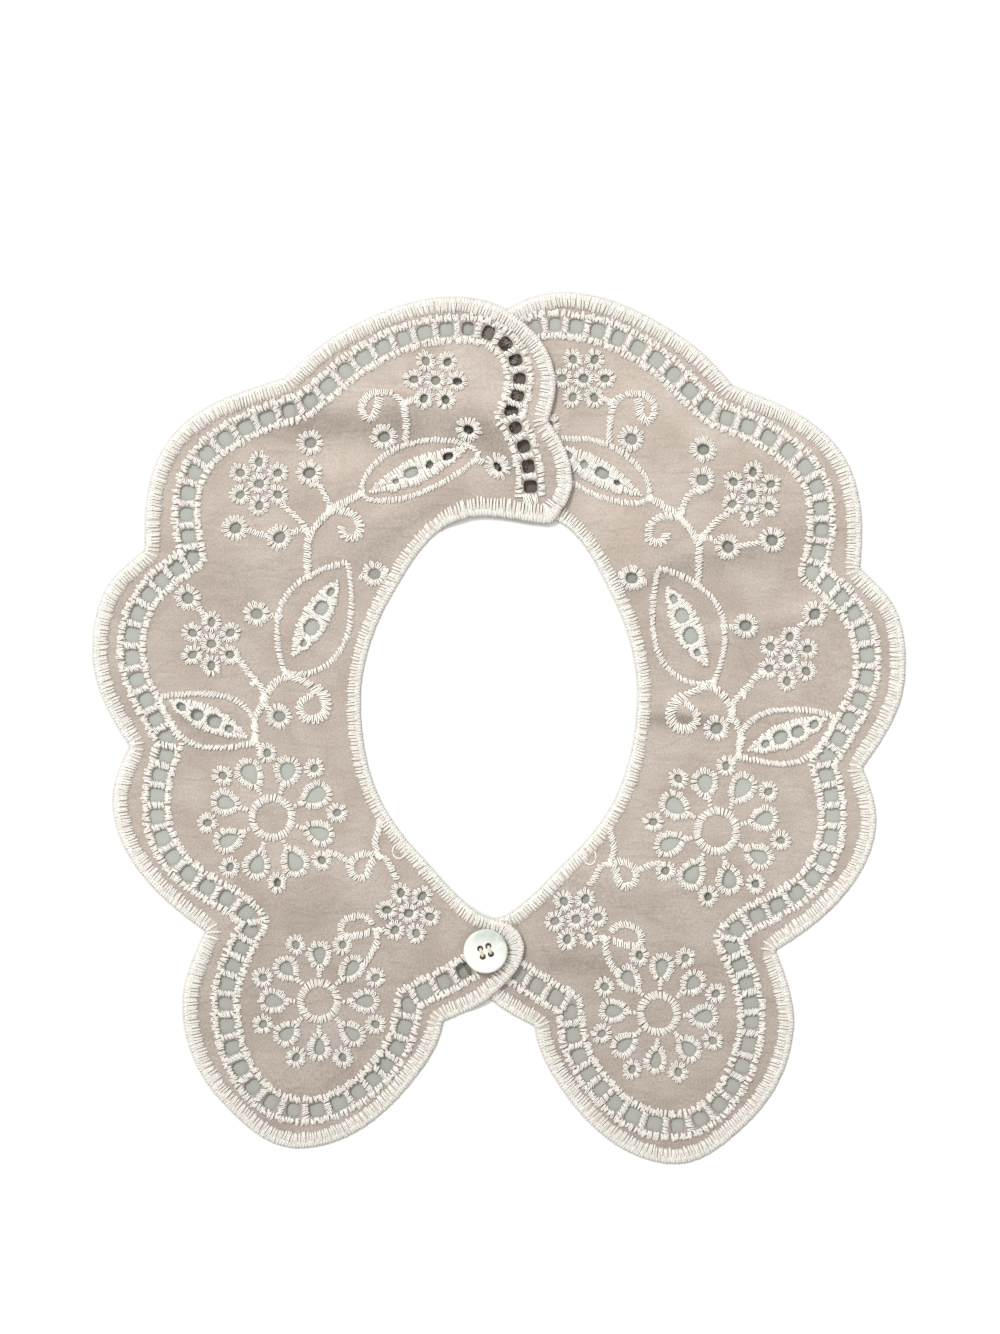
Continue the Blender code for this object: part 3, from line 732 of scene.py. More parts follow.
cream_thread = floss("cream_thread", THREAD_PALE, THREAD_WARM)
# The padding's material is painted darker than the cream thread: painted shade.
shaded_padding_thread = floss("shaded_padding_thread", PADDING_SHADED_PALE, PADDING_SHADED_WARM)
print("threads:", cream_thread.name, shaded_padding_thread.name)

# %% [markdown]
# The openings
#
# Broderie anglaise is mostly holes. They could be cut from the cloth with Booleans, but a flat sheet
# is cut sooner by leaving them out of its pattern, so each opening is first only a closed loop of
# points. Each is a little its own size and shape, as worked cloth is, by seeded random draws.

# %% The tables of the flowers, eyelets and openings
# Flowers of six eyelets round a seventh. Columns: x, y, turn (degrees).
SMALL_FLOWERS = [
    (-21.4, 117.6, -3),
    (-81.4, 82.5, 30),
    (-97.6, 28.1, 30),
    (-30.6, -63.4, 51),
]
# Flowers of eight drop-shaped petals with a small eyelet between each two.
# Columns: x, y, petal radius, eyelet radius, turn (degrees), petal's length and width, ring radius.
LARGE_FLOWERS = [
    (-76.9, -31.0, 16.5, 22.1, 27, 7.0, 4.9, 6.8),
    (-60.9, -93.3, 15.4, 20.7, 0, 6.1, 4.3, 6.3),
]
# Eyelets on their own. Columns: x, y, heading of the longer way (degrees), hole's length and width.
LONE_EYELETS = [
    (-63.9, 96.4, 10, 4.4, 3.9),
    (-64.3, 86.2, 10, 4.4, 3.9),
    (-39.0, 98.4, 20, 4.4, 3.9),
    (-89.4, 67.5, 30, 4.4, 3.9),
    (-74.5, 64.3, 40, 4.4, 3.9),
    (-10.2, 100.8, -40, 4.0, 3.0),
    (-0.3, 88.2, -55, 4.0, 2.1),
    (-42.2, 51.9, 0, 4.4, 3.9),
    (-105.6, 43.7, -45, 4.4, 3.9),
    (-82.2, 38.3, 0, 4.4, 3.9),
    (-74.5, 3.4, -20, 4.4, 3.9),
]
# Openings in the leaves. Columns: leaf, x, y, length, width, heading (degrees).
LEAF_OPENINGS = [
    (0, -35.0, 83.4, 2.6, 1.9, 25),
    (0, -29.6, 86.4, 5.6, 3.6, 25),
    (0, -23.4, 88.9, 3.0, 2.6, 60),
    (0, -17.2, 91.7, 4.0, 2.8, 20),
    (1, -57.0, 45.8, 3.5, 2.6, 55),
    (1, -60.2, 40.3, 5.3, 4.8, 55),
    (1, -63.6, 33.8, 6.0, 5.3, 60),
    (1, -66.2, 28.4, 3.0, 2.4, 60),
    (2, -107.8, 6.7, 3.7, 3.0, -28),
    (2, -102.4, 4.0, 4.7, 4.2, -28),
    (2, -96.6, 1.8, 5.4, 4.8, -28),
    (2, -91.6, -0.7, 3.2, 2.7, -28),
]
# A small flower's radius, and the eyelets by their place. Columns: hole's length and width, ring's radius.
SMALL_FLOWER_RADIUS = 7.4
MIDDLE_EYELET = (3.5, 3.2, 3.55)
OUTER_EYELET = (3.4, 2.8, 3.55)
ROSETTE_EYELET = (3.2, 2.7, 3.5)
# The ring round an eyelet on its own, and the size of the ladder's square holes.
LONE_RING = 4.45
LADDER_HOLE = 5.3
print("flowers, lone eyelets and leaf openings:", len(SMALL_FLOWERS) + len(LARGE_FLOWERS),
      len(LONE_EYELETS), len(LEAF_OPENINGS))

# %% Every opening of the pattern
ladder_along = lengths_along(ladder)
# The ladder's holes near the back end are smaller. Rows: the hole's number, its share of the full size.
LADDER_EASE = ([9, 16], [0.84, 1.0])
HOLE_SIDES = 12


def ladder_distance(number):
    """How far along the ladder's middle line a hole's number, or a bar's, comes."""
    counted = [row[4] for row in LADDER]
    return np.interp(number, counted, ladder_along[ladder_stations])


def ladder_openings(seed):
    """The square holes, each a little its own size and shape as worked cloth is."""
    rng = np.random.default_rng(seed)
    numbers = np.arange(1, int(LADDER[-1][4]) + 1)
    places, directions = at_distances(ladder, ladder_distance(numbers))
    loops = []
    for number, place, direction in zip(numbers, places, directions):
        heading = math.atan2(direction[1], direction[0]) + rng.normal(0, 0.05)
        full = LADDER_HOLE * np.interp(number, *LADDER_EASE)
        length = full * rng.uniform(0.88, 1.06)
        width = full * rng.uniform(0.94, 1.12)
        loops.append(oval(place, heading, length, width, 16, power=rng.uniform(0.55, 0.85)))
    return loops


def petals():
    """The large flowers' petals: place, heading, length, width, and the flower's centre and ring."""
    rows = []
    for x, y, petal_radius, _, turn, length, width, ring in LARGE_FLOWERS:
        for place, heading in around(x, y, petal_radius, turn, 8):
            rows.append((place, heading, length, width, (x, y), ring))
    return rows


def petal_openings(seed):
    """The petals' drop-shaped holes, each a little its own size, way and shape."""
    rng = np.random.default_rng(seed)
    loops = []
    for place, heading, length, width, _, _ in petals():
        length = length * rng.uniform(0.9, 1.08)
        width = width * rng.uniform(0.86, 1.06)
        loops.append(oval(place, heading + rng.normal(0, 0.08), length, width, 20, rng.uniform(0.3, 0.5)))
    return loops


def round_eyelets():
    """Every small round eyelet: place, heading, hole's length and width, and the ring's radius."""
    rows = []
    for x, y, turn in SMALL_FLOWERS:
        rows.append(((x, y), 0.0, *MIDDLE_EYELET))
        rows += [(*spot, *OUTER_EYELET) for spot in around(x, y, SMALL_FLOWER_RADIUS, turn, 6)]
    for x, y, _, radius, turn, *_ in LARGE_FLOWERS:
        rows += [(*spot, *ROSETTE_EYELET) for spot in around(x, y, radius, turn + 22.5, 8)]
    rows += [((x, y), math.radians(heading), *hole, LONE_RING) for x, y, heading, *hole in LONE_EYELETS]
    return rows


ladder_loops = ladder_openings(11)
petal_loops = petal_openings(13)
eyelet_loops = [oval(*eyelet, HOLE_SIDES) for *eyelet, _ in round_eyelets()]
leaf_loops = [oval((x, y), math.radians(heading), length, width, HOLE_SIDES, power=0.8)
              for _, x, y, length, width, heading in LEAF_OPENINGS]
openings = ladder_loops + petal_loops + eyelet_loops + leaf_loops
print("openings in each half:", len(openings))

# %% [markdown]
# The cloth
#
# Each half is one sheet of lawn, a third of a millimetre thick. It is cut out as a flat triangulated
# sheet with every opening left out of it, and a Solidify modifier gives it its thickness. A regular
# sprinkle of points between the cuts lets the sheet follow the soft folds.

# %% Cut the cloth out
CLOTH_THICKNESS = 0.35
SPRINKLE = 2.3
CLEAR_OF_EDGE = 1.0
CLEAR_OF_CUTS = 0.9
WIDEST_OPENING = 6
# How far apart the sprinkle's rows are, as a share of the way between its points.
SPRINKLE_ROWS = 0.866


def cut_out():
    """The flat pattern as triangles: points, and the triangles that are cloth."""
    outline = closed_outline(OUTLINE_STEP)
    low, high = outline.min(axis=0), outline.max(axis=0)
    rows = []
    for row, y in enumerate(np.arange(low[1], high[1], SPRINKLE * SPRINKLE_ROWS)):
        xs = np.arange(low[0] + (row % 2) * SPRINKLE / 2, high[0], SPRINKLE)
        rows.append(np.column_stack([xs, np.full(len(xs), y)]))
    sprinkled = np.vstack(rows)
    sprinkled = sprinkled[signed_distance(sprinkled, outline) < -CLEAR_OF_EDGE]
    cuts = np.vstack([outline] + openings)
    near = np.array([np.hypot(*(cuts - point).T).min() for point in sprinkled])
    points = [Vector(point) for point in sprinkled[near > CLEAR_OF_CUTS]]
    edges = []
    for loop in [outline, *openings]:
        first = len(points)
        points += [Vector(point) for point in loop]
        edges += [(first + index, first + (index + 1) % len(loop)) for index in range(len(loop))]
    found, _, triangles, *_ = delaunay_2d_cdt(points, edges, [], 0, 1e-4)
    flat = np.array([tuple(point) for point in found])
    triangles = np.array(triangles)
    middles = flat[triangles].mean(axis=1)
    kept = inside(middles, outline)
    for loop in openings:
        near = np.hypot(*(middles - loop.mean(axis=0)).T) < WIDEST_OPENING
        kept[near] &= ~inside(middles[near], loop)
    triangles = triangles[kept]
    used, numbered = np.unique(triangles, return_inverse=True)
    return flat[used], numbered.reshape(triangles.shape)


flat_points, flat_triangles = cut_out()

# %% Lay the cloth down
# Painted light and shade of the folds: where a fold's far side turns from the light, or its near side
# to it. Columns: half, x, y on the table, heading (degrees), length, width, and the change of tone.
PAINTED_FOLD_SHADING = [
    ("left", -38.0, 102.8, -3, 84, 6.5, -1.3),
    ("left", 1.0, 93.0, -42, 36, 6, -1.3),
    ("left", -64.0, 101.5, -8, 30, 6, -0.45),
    ("left", -32.0, 108.5, 4, 22, 5, -0.75),
    ("left", -24.0, 117.0, 12, 60, 9, 0.4),
    ("left", -52.0, 89.0, 8, 30, 6, 0.8),
    ("left", -24.0, 82.0, 26, 50, 4, 0.5),
    ("left", -36.0, 66.0, 38, 46, 6, -0.6),
    ("left", -88.0, 74.0, 0, 34, 9, 0.3),
    ("left", -104.0, 2.6, -8, 32, 3.5, -0.7),
    ("left", -62.0, -60.0, -5, 64, 7, -0.15),
    ("right", 41.0, 73.0, -60, 36, 10, 0.8),
    ("right", 78.0, 57.5, 12, 60, 5, -0.6),
    ("right", 55.0, 51.0, 30, 28, 3.5, -0.6),
    ("right", 64.0, 2.6, -2, 34, 2.0, -2.1),
    ("right", 64.0, 8.0, -2, 32, 3, 0.5),
    ("right", 22.0, -79.5, -3, 40, 3.5, -0.7),
    ("right", 68.0, -60.0, -4, 62, 7, -0.15),
    ("right", 92.0, 38.6, 14, 52, 2.5, 0.4),
    ("right", 93.0, 33.4, 14, 52, 2.5, -0.4),
    ("right", 62.0, 104.0, -30, 62, 10, 0.3),
]
# Painted light and shade: the cloth is a little paler at the back of the neck than at the front.
# Rows: y on the table, tone.
PAINTED_LIGHT_ALONG = ([-140.0, -85.0, -40.0, 50.0, 110.0], [-0.6, -0.45, 0.1, 0.15, 0.6])


def mesh_piece(name, vertices, faces, material, **values):
    """A smooth mesh in the scene, from millimetres, that keeps named values at each of its points."""
    mesh = bpy.data.meshes.new(name)
    mesh.from_pydata((np.asarray(vertices) * MM).tolist(), [], faces)
    mesh.shade_smooth()
    for label, value in values.items():
        kept = mesh.attributes.new(label, "FLOAT", "POINT")
        kept.data.foreach_set("value", np.asarray(value, np.float32).ravel())
    mesh.materials.append(material)
    return in_scene(name, mesh)


def make_cloth(half, flat, triangles):
    """One half's sheet of lawn, where it lies."""
    laid = lay(flat, half)
    vertices = np.column_stack([laid, height_at(laid, half) + CLOTH_THICKNESS / 2])
    faces = triangles if half == "left" else triangles[:, ::-1]
    # The tone is painted light and shade: of the folds, and from the front to the back of the neck.
    tone = sum_of_ridges(PAINTED_FOLD_SHADING, laid, half) + np.interp(laid[:, 1], *PAINTED_LIGHT_ALONG)
    # The cloth keeps its painted shade under the other half at each point.
    cloth = mesh_piece(f"cloth_{half}", vertices, faces.tolist(), cotton_cloth,
                       covered=covered_share(laid, half), tone=tone)
    wall = cloth.modifiers.new("thickness", "SOLIDIFY")
    wall.thickness = CLOTH_THICKNESS * MM
    wall.offset = 0
    return cloth


cloths = {half: make_cloth(half, flat_points, flat_triangles) for half in HALVES}
print("sheets of cloth:", [cloth.name for cloth in cloths.values()])

# %% [markdown]
# How a stitch is made
#
# Machine embroidery goes out and back: the thread comes up at the foot, runs to the tip, turns there
# and runs back beside itself. Each stitch is so a thin tube along a narrow loop of eight points, and
# hundreds of them are joined into one mesh. Each stitch keeps three numbers for its material: how far
# along it a point is, how far round it, and one number of its own.

# %% Thread
STRAND = 0.5
STRAND_SIDES = 5


def there_and_back(rows):
    """A stitch's loop from its way out. The way back mirrors it."""
    out = np.array(rows)
    return np.vstack([out, (out * (1, -1, 1))[::-1]])


# The way out. Columns: share of the way from foot to tip, side in strand gaps, height in crowns.
LOOP = there_and_back([(0.00, -0.46, 0.00), (0.18, -0.54, 0.80), (0.66, -0.56, 1.00),
                       (0.97, -0.30, 0.50)])
# A ray's loop, which is narrow at the hole and round at its tip. Columns as above.
RAY_LOOP = there_and_back([(0.00, -0.26, -0.30), (0.22, -0.34, 0.85), (0.70, -0.62, 1.00),
                           (0.98, -0.34, 0.40)])


def loop_paths(feet, tips, half, seed, gap=0.42, crown=0.45, foot=-0.15, loop=LOOP):
    """The paths of stitches from their feet to their tips, laid on the cloth of a half."""
    rng = np.random.default_rng(seed)
    feet = np.asarray(feet, float)
    run = np.asarray(tips, float) - feet
    across = left_of(run / np.linalg.norm(run, axis=1)[:, None])
    wide = gap * rng.uniform(0.8, 1.2, (len(feet), 1, 1))
    high = crown * rng.uniform(0.75, 1.3, (len(feet), 1))
    bow = rng.normal(0, 0.1, (len(feet), 1, 1)) * np.sin(math.pi * loop[None, :, :1])
    aside = loop[None, :, 1:2] * wide + bow
    flat = feet[:, None] + run[:, None] * loop[None, :, :1] + across[:, None] * aside
    laid = lay(flat, half)
    level = foot + (high - foot) * loop[None, :, 2]
    height = height_at(laid, half) + CLOTH_THICKNESS + level
    return np.concatenate([laid, height[..., None]], axis=-1)


def make_thread(name, paths, seed, half="left", strand=STRAND, material=None):
    """Tubes along many paths, joined into one piece. The paths are an array: stitch, point, place."""
    count, steps, _ = paths.shape
    run = np.gradient(paths, axis=1)
    run /= np.linalg.norm(run, axis=2)[..., None]
    side = np.cross(np.array([0.0, 0.0, 1.0]), run)
    side /= np.maximum(np.linalg.norm(side, axis=2), 1e-6)[..., None]
    up = np.cross(run, side)
    rng = np.random.default_rng(seed)
    own = rng.random(count)
    swell = np.interp(np.arange(steps), [0, 1, steps - 2, steps - 1], [0.8, 1, 1, 0.8])
    radius = strand / 2 * (0.9 + 0.2 * own)[:, None] * swell[None]
    angle = 2 * np.pi * np.arange(STRAND_SIDES) / STRAND_SIDES - np.pi / 2
    ring = (side[:, :, None] * np.cos(angle)[None, None, :, None]
            + up[:, :, None] * np.sin(angle)[None, None, :, None])
    vertices = paths[:, :, None] + ring * radius[:, :, None, None]
    shape = (count, steps, STRAND_SIDES)
    number = np.arange(math.prod(shape)).reshape(shape)
    here, there = number[:, :-1], number[:, 1:]
    walls = np.stack([here, np.roll(here, -1, axis=2), np.roll(there, -1, axis=2), there], axis=-1)
    faces = walls.reshape(-1, 4).tolist() + number[:, 0, ::-1].tolist() + number[:, -1].tolist()
    steps_long = np.linalg.norm(np.diff(paths, axis=1), axis=2)
    along = np.concatenate([np.zeros((count, 1)), np.cumsum(steps_long, axis=1)], axis=1)
    girth = np.arange(STRAND_SIDES) / STRAND_SIDES
    # The painted shade at each point of the thread.
    shade = painted_shade_share(paths[..., :2].reshape(-1, 2), half)
    values = {"along": along[..., None], "around": girth, "stitch": own[:, None, None],
              "covered": shade.reshape(count, steps, 1)}
    values = {label: np.broadcast_to(value, shape) for label, value in values.items()}
    return mesh_piece(name, vertices.reshape(-1, 3), faces, material or cream_thread, **values)


def jitter(rng, count, amount):
    """Small seeded shifts, so that no two stitches are quite alike."""
    return rng.uniform(-amount, amount, count)


def spaced(line, start, pitch, loose, look, rng):
    """Distances at a pitch along a line, each shifted a little: place, direction and left side there."""
    distances = np.arange(start, lengths_along(line)[-1], pitch)
    distances = distances + jitter(rng, len(distances), loose)
    places, directions = at_distances(line, distances, look)
    return distances, places, directions, left_of(directions)


sewn = {half: [] for half in HALVES}

# %% [markdown]
# The worked edge
#
# The cut edge is covered with satin stitch over a soft padding, which keeps it from fraying and gives
# it weight. The stitches stand square to the edge and fan out round each scallop's notch. Their outer
# ends wrap the edge, and their inner ends are ragged.


# %% Sew the edges
EDGE_WIDTH = 5.1
NECK_EDGE_WIDTH = 4.4
# Over its last stretch, towards the back end, the neck edge grows wider.
BACK_EDGE_WIDTH = 6.4
BACK_END_LENGTH = 46
BACK_END_RAMP = 16
EDGE_PITCH = 1.04
EDGE_STRAND = 0.42
EDGE_GAP = 0.34
EDGE_LEAN = 0.5
LEAN_LENGTH = 7
# A short stitch lies between each two long ones: its least and most share of their length.
SHORT_STITCH = (0.28, 0.52)
SHORT_GAP = 0.12
PADDING_STEP = 1.5


def neck_width(distances, total):
    """The neck edge's width, which grows to the back end, where both halves' edges meet."""
    share = np.clip((distances - (total - BACK_END_LENGTH)) / BACK_END_RAMP, 0, 1)
    return NECK_EDGE_WIDTH + (BACK_EDGE_WIDTH - NECK_EDGE_WIDTH) * smooth(share)


def edge_stitches(half, seed):
    """Satin stitches over a half's outer edge and its neck edge, with a short one after each."""
    rng = np.random.default_rng(seed)
    found = []
    for line, width_at in ((outer_edge, None), (neck_edge, neck_width)):
        distances, places, directions, inward = spaced(line, EDGE_PITCH / 2, EDGE_PITCH, 0.07, 2.0, rng)
        count = len(distances)
        total = lengths_along(line)[-1]
        width = np.full(count, EDGE_WIDTH) if width_at is None else width_at(distances, total)
        lean = EDGE_LEAN * np.sin(distances / LEAN_LENGTH + rng.uniform(0, 6)) + jitter(rng, count, 0.35)
        feet = places - inward * (0.06 + jitter(rng, count, 0.1))[:, None]
        reach = width + jitter(rng, count, 0.42)
        tips = places + inward * reach[:, None] + directions * lean[:, None]
        found.append(loop_paths(feet, tips, half, seed + len(found), gap=EDGE_GAP, crown=0.58, foot=-0.2))
        feet = feet + directions * EDGE_PITCH / 2
        share = rng.uniform(*SHORT_STITCH, count)[:, None]
        tips = feet + (tips + directions * EDGE_PITCH / 2 - feet) * share
        found.append(loop_paths(feet, tips, half, seed + len(found), gap=SHORT_GAP, crown=0.5, foot=-0.2))
    return np.concatenate(found)


def edge_padding(half):
    """The soft padding under the edge's stitches: a low rounded ribbon along each edge."""
    vertices = []
    faces = []
    for line, width in ((outer_edge, EDGE_WIDTH), (neck_edge, NECK_EDGE_WIDTH)):
        places, directions = at_distances(line, np.arange(0, lengths_along(line)[-1], PADDING_STEP))
        inward = left_of(directions)
        section = [(0.2, -0.30), (0.22, 0.1), (0.3 * width, 0.3), (0.65 * width, 0.26), (0.93 * width, -0.02)]
        number = np.arange(len(places) * len(section)).reshape(-1, len(section)) + sum(map(len, vertices))
        walls = np.stack([number[:-1, :-1], number[:-1, 1:], number[1:, 1:], number[1:, :-1]], axis=-1)
        faces += walls.reshape(-1, 4).tolist()
        rings = []
        for offset, level in section:
            laid = lay(places + inward * offset, half)
            rings.append(np.column_stack([laid, height_at(laid, half) + CLOTH_THICKNESS + level]))
        vertices.append(np.stack(rings, axis=1).reshape(-1, 3))
    vertices = np.vstack(vertices)
    faces = faces if half == "right" else [face[::-1] for face in faces]
    # The padding's painted shade at each point.
    return mesh_piece(f"edge_padding_{half}", vertices, faces, shaded_padding_thread,
                      covered=painted_shade_share(vertices[:, :2], half))


for number, half in enumerate(HALVES):
    paths = edge_stitches(half, 21 + number)
    sewn[half].append(make_thread(f"edge_stitches_{half}", paths, 31 + number, half, strand=EDGE_STRAND))
    sewn[half].append(edge_padding(half))
    print(half, "edge stitches:", len(paths))

# %% [markdown]
# The ladder
#
# A band of square holes runs inside the edge. Two rails of short stitches hold the cloth on either
# side of the holes, and a bar wrapped with thread crosses between each two holes.

# %% Sew the ladder
RAIL_PITCH = 1.1
RAIL_STITCH = 2.3
BAR_WIDTH = 2.0
BAR_WRAPS = 5
# The end bar at the back reaches on to the neck edge's stitches: its share of a bar's half width.
BACK_END_REACH = 2.7
CROSSING_PITCH = 2.4
CROSSING_HALF = 0.75


def rail_stitches(half, seed):
    """The short stitches along both sides of the ladder, roughly square to it, and some across them."""
    rng = np.random.default_rng(seed)
    found = []
    for side in (-1, 1):
        rail = ladder + side * left_of(at_distances(ladder, ladder_along, 1.5)[1]) * LADDER_HOLE / 2
        _, places, directions, left = spaced(rail, 0.4, RAIL_PITCH, 0.2, 2.2, rng)
        count = len(places)
        outward = side * left
        feet = places - outward * (0.1 + jitter(rng, count, 0.25))[:, None]
        reach = RAIL_STITCH + jitter(rng, count, 0.5)
        tips = places + outward * reach[:, None] + directions * jitter(rng, count, 0.7)[:, None]
        found.append(loop_paths(feet, tips, half, seed + len(found), gap=0.44, crown=0.45, loop=RAY_LOOP))
        _, places, directions, left = spaced(rail, 1.0, CROSSING_PITCH, 0.8, 2.2, rng)
        count = len(places)
        outward = side * left
        middle = places + outward * (1.0 + jitter(rng, count, 0.7))[:, None]
        angle = rng.uniform(-1.2, 1.2, count)[:, None]
        way = (outward * np.cos(angle) + directions * np.sin(angle)) * CROSSING_HALF
        found.append(loop_paths(middle - way, middle + way, half, seed + len(found), gap=0.4,
                                crown=0.7, foot=0.2))
    return np.concatenate(found)


def bar_stitches(half, seed):
    """The wraps round each bar between two holes, and round the ladder's two ends."""
    rng = np.random.default_rng(seed)
    numbers = np.arange(0.5, LADDER[-1][4] + 0.25, 1.0)
    middles, directions = at_distances(ladder, ladder_distance(numbers))
    feet = []
    tips = []
    for number, middle, direction in zip(numbers, middles, directions):
        across = np.array([-direction[1], direction[0]])
        reach = BACK_END_REACH if number < 1 else 1.0
        for wrap in range(BAR_WRAPS):
            place = middle + across * LADDER_HOLE * ((wrap + rng.uniform(0.3, 0.7)) / BAR_WRAPS - 0.5)
            lean = across * rng.uniform(0.1, 0.8)
            half_bar = direction * BAR_WIDTH / 2 * rng.uniform(0.85, 1.25)
            feet.append(place - half_bar * reach - lean)
            tips.append(place + half_bar + lean)
    return loop_paths(feet, tips, half, seed + 5, gap=0.46, crown=0.55)


for number, half in enumerate(HALVES):
    paths = np.concatenate([rail_stitches(half, 41 + 20 * number), bar_stitches(half, 51 + 20 * number)])
    sewn[half].append(make_thread(f"ladder_stitches_{half}", paths, 61 + number, half))
    print(half, "ladder stitches:", len(paths))

# %% [markdown]
# Eyelets, petals, leaves and stems
#
# An eyelet is a pierced hole with stitches that stand round it like a sun's rays. A petal is a larger
# drop-shaped one that comes to a point at the flower's ring. A leaf has a narrow stitched outline and
# a worked middle with openings in it. Stems and curls are short slanting stitches along a line.


# %% Two ways to set stitches
LEAN_DRIFT = 0.55
LEAN_WAVE = 3.4


def rays(loop, length, pitch, rng, ragged=0.35, overlap=0.06):
    """Stitches that stand out all round an opening, at a pitch measured half-way along them."""
    closed = np.vstack([loop, loop[:1]])
    total = lengths_along(closed)[-1]
    count = max(8, round((total + math.pi * length) / pitch))
    distances = (np.arange(count) + rng.uniform(0, 1)) * total / count + jitter(rng, count, 0.08)
    wrapped = np.vstack([closed[:-1], closed[:-1], closed])
    places, directions = at_distances(wrapped, distances + total, 0.8)
    outward = -left_of(directions)
    feet = places - outward * (overlap + jitter(rng, count, 0.12))[:, None]
    tips = places + outward * (length + jitter(rng, count, ragged))[:, None]
    tips = tips + directions * jitter(rng, count, 0.35)[:, None]
    return feet, tips


def slanting(line, width, pitch, lean, rng, ragged=0.22):
    """Stitches across a line. Their lean drifts to and fro along it. A width can be a start and an end."""
    total = lengths_along(line)[-1]
    count = max(2, round(total / pitch))
    distances = (np.arange(count) + 0.5) * total / count + jitter(rng, count, 0.14)
    places, directions = at_distances(line, distances, 0.9)
    drift = LEAN_DRIFT * np.sin(distances / LEAN_WAVE + rng.uniform(0, 6)) + jitter(rng, count, 0.22)
    angle = (lean + lean * drift)[:, None]
    across = left_of(directions) * np.cos(angle) + directions * np.sin(angle)
    first, last = width if isinstance(width, tuple) else (width, width)
    reach = (first + (last - first) * distances / total) / 2
    places = places + across * jitter(rng, count, 0.12)[:, None]
    feet = places - across * (reach + jitter(rng, count, ragged))[:, None]
    tips = places + across * (reach + jitter(rng, count, ragged))[:, None]
    return feet, tips


# %% The lines of leaves and petals
# Leaves. Columns: base x, y, tip x, y, swell to the left and where along, the same to the right, and
# a power that rounds the ends where it is low.
LEAVES = [
    (-46.6, 79.1, -6.6, 92.6, 10.9, 0.47, 6.2, 0.42, 0.62),
    (-72.4, 18.5, -51.3, 55.6, 12.6, 0.50, 12.6, 0.38, 0.85),
    (-82.6, -5.6, -115.0, 9.7, 9.2, 0.55, 10.2, 0.36, 0.85),
]
# The worked middle of each leaf. Columns: start x, y, end x, y, width.
LEAF_MIDDLES = [
    (-44.0, 79.6, -11.0, 94.4, 8.6),
    (-69.8, 24.0, -54.6, 49.6, 9.6),
    (-85.6, -3.4, -111.6, 8.8, 8.6),
]
MIDDLE_PITCH = 1.0
SPINDLE_ROUND = 0.8


def swelling_line(ends, heights):
    """A line from one place to another, pushed to its left by the height at each of its points."""
    start = np.array(ends[:2])
    run = np.array(ends[2:4]) - start
    left = np.array([-run[1], run[0]]) / np.linalg.norm(run)
    share = np.linspace(0, 1, len(heights))[:, None]
    return start + share * run + heights[:, None] * left


def leaf_side(row, side):
    """One side of a leaf's outline, from its base to its tip."""
    most, belly = row[4:6] if side > 0 else row[6:8]
    share = np.linspace(0, 1, 29) ** (math.log(0.5) / math.log(belly))
    return swelling_line(row, side * most * np.sin(math.pi * share) ** row[8])


def spindle_side(row, side):
    """One side of a leaf's worked middle, pointed at both ends."""
    return swelling_line(row, side * row[4] / 2 * np.sin(math.pi * np.linspace(0, 1, 21)) ** SPINDLE_ROUND)


def middle_stitches(row, side, rng):
    """Stitches from one edge of a leaf's worked middle to its axis, or to an opening in the way."""
    edge = spindle_side(row, side)
    total = lengths_along(edge)[-1]
    distances = np.arange(0.4, total, MIDDLE_PITCH)
    places, directions = at_distances(edge, distances, 1.0)
    inward = -side * left_of(directions)
    whole = row[4] / 2 * np.sin(math.pi * distances / total) ** SPINDLE_ROUND
    reach = np.zeros(len(places))
    clear = np.ones(len(places), bool)
    for share in np.linspace(0.1, 1, 10):
        there = places + inward * (whole * share)[:, None]
        for loop in leaf_loops:
            clear &= ~inside(there, loop)
        reach[clear] = share
    feet = places + inward * np.maximum(whole * reach + 0.1, 0.5)[:, None]
    tips = places - inward * (0.2 + jitter(rng, len(places), 0.4))[:, None]
    return feet, tips + directions * jitter(rng, len(places), 0.3)[:, None]


def petal_point(place, heading, length, centre, ring):
    """The short line from a petal's narrow end to the flower's ring."""
    outward = np.array([math.cos(heading), math.sin(heading)])
    return np.array([place - outward * (length / 2 + 1.0), centre + outward * (ring + 1.7)])


print("leaves' outlines, in mm:", [round(lengths_along(leaf_side(row, 1))[-1]) for row in LEAVES])

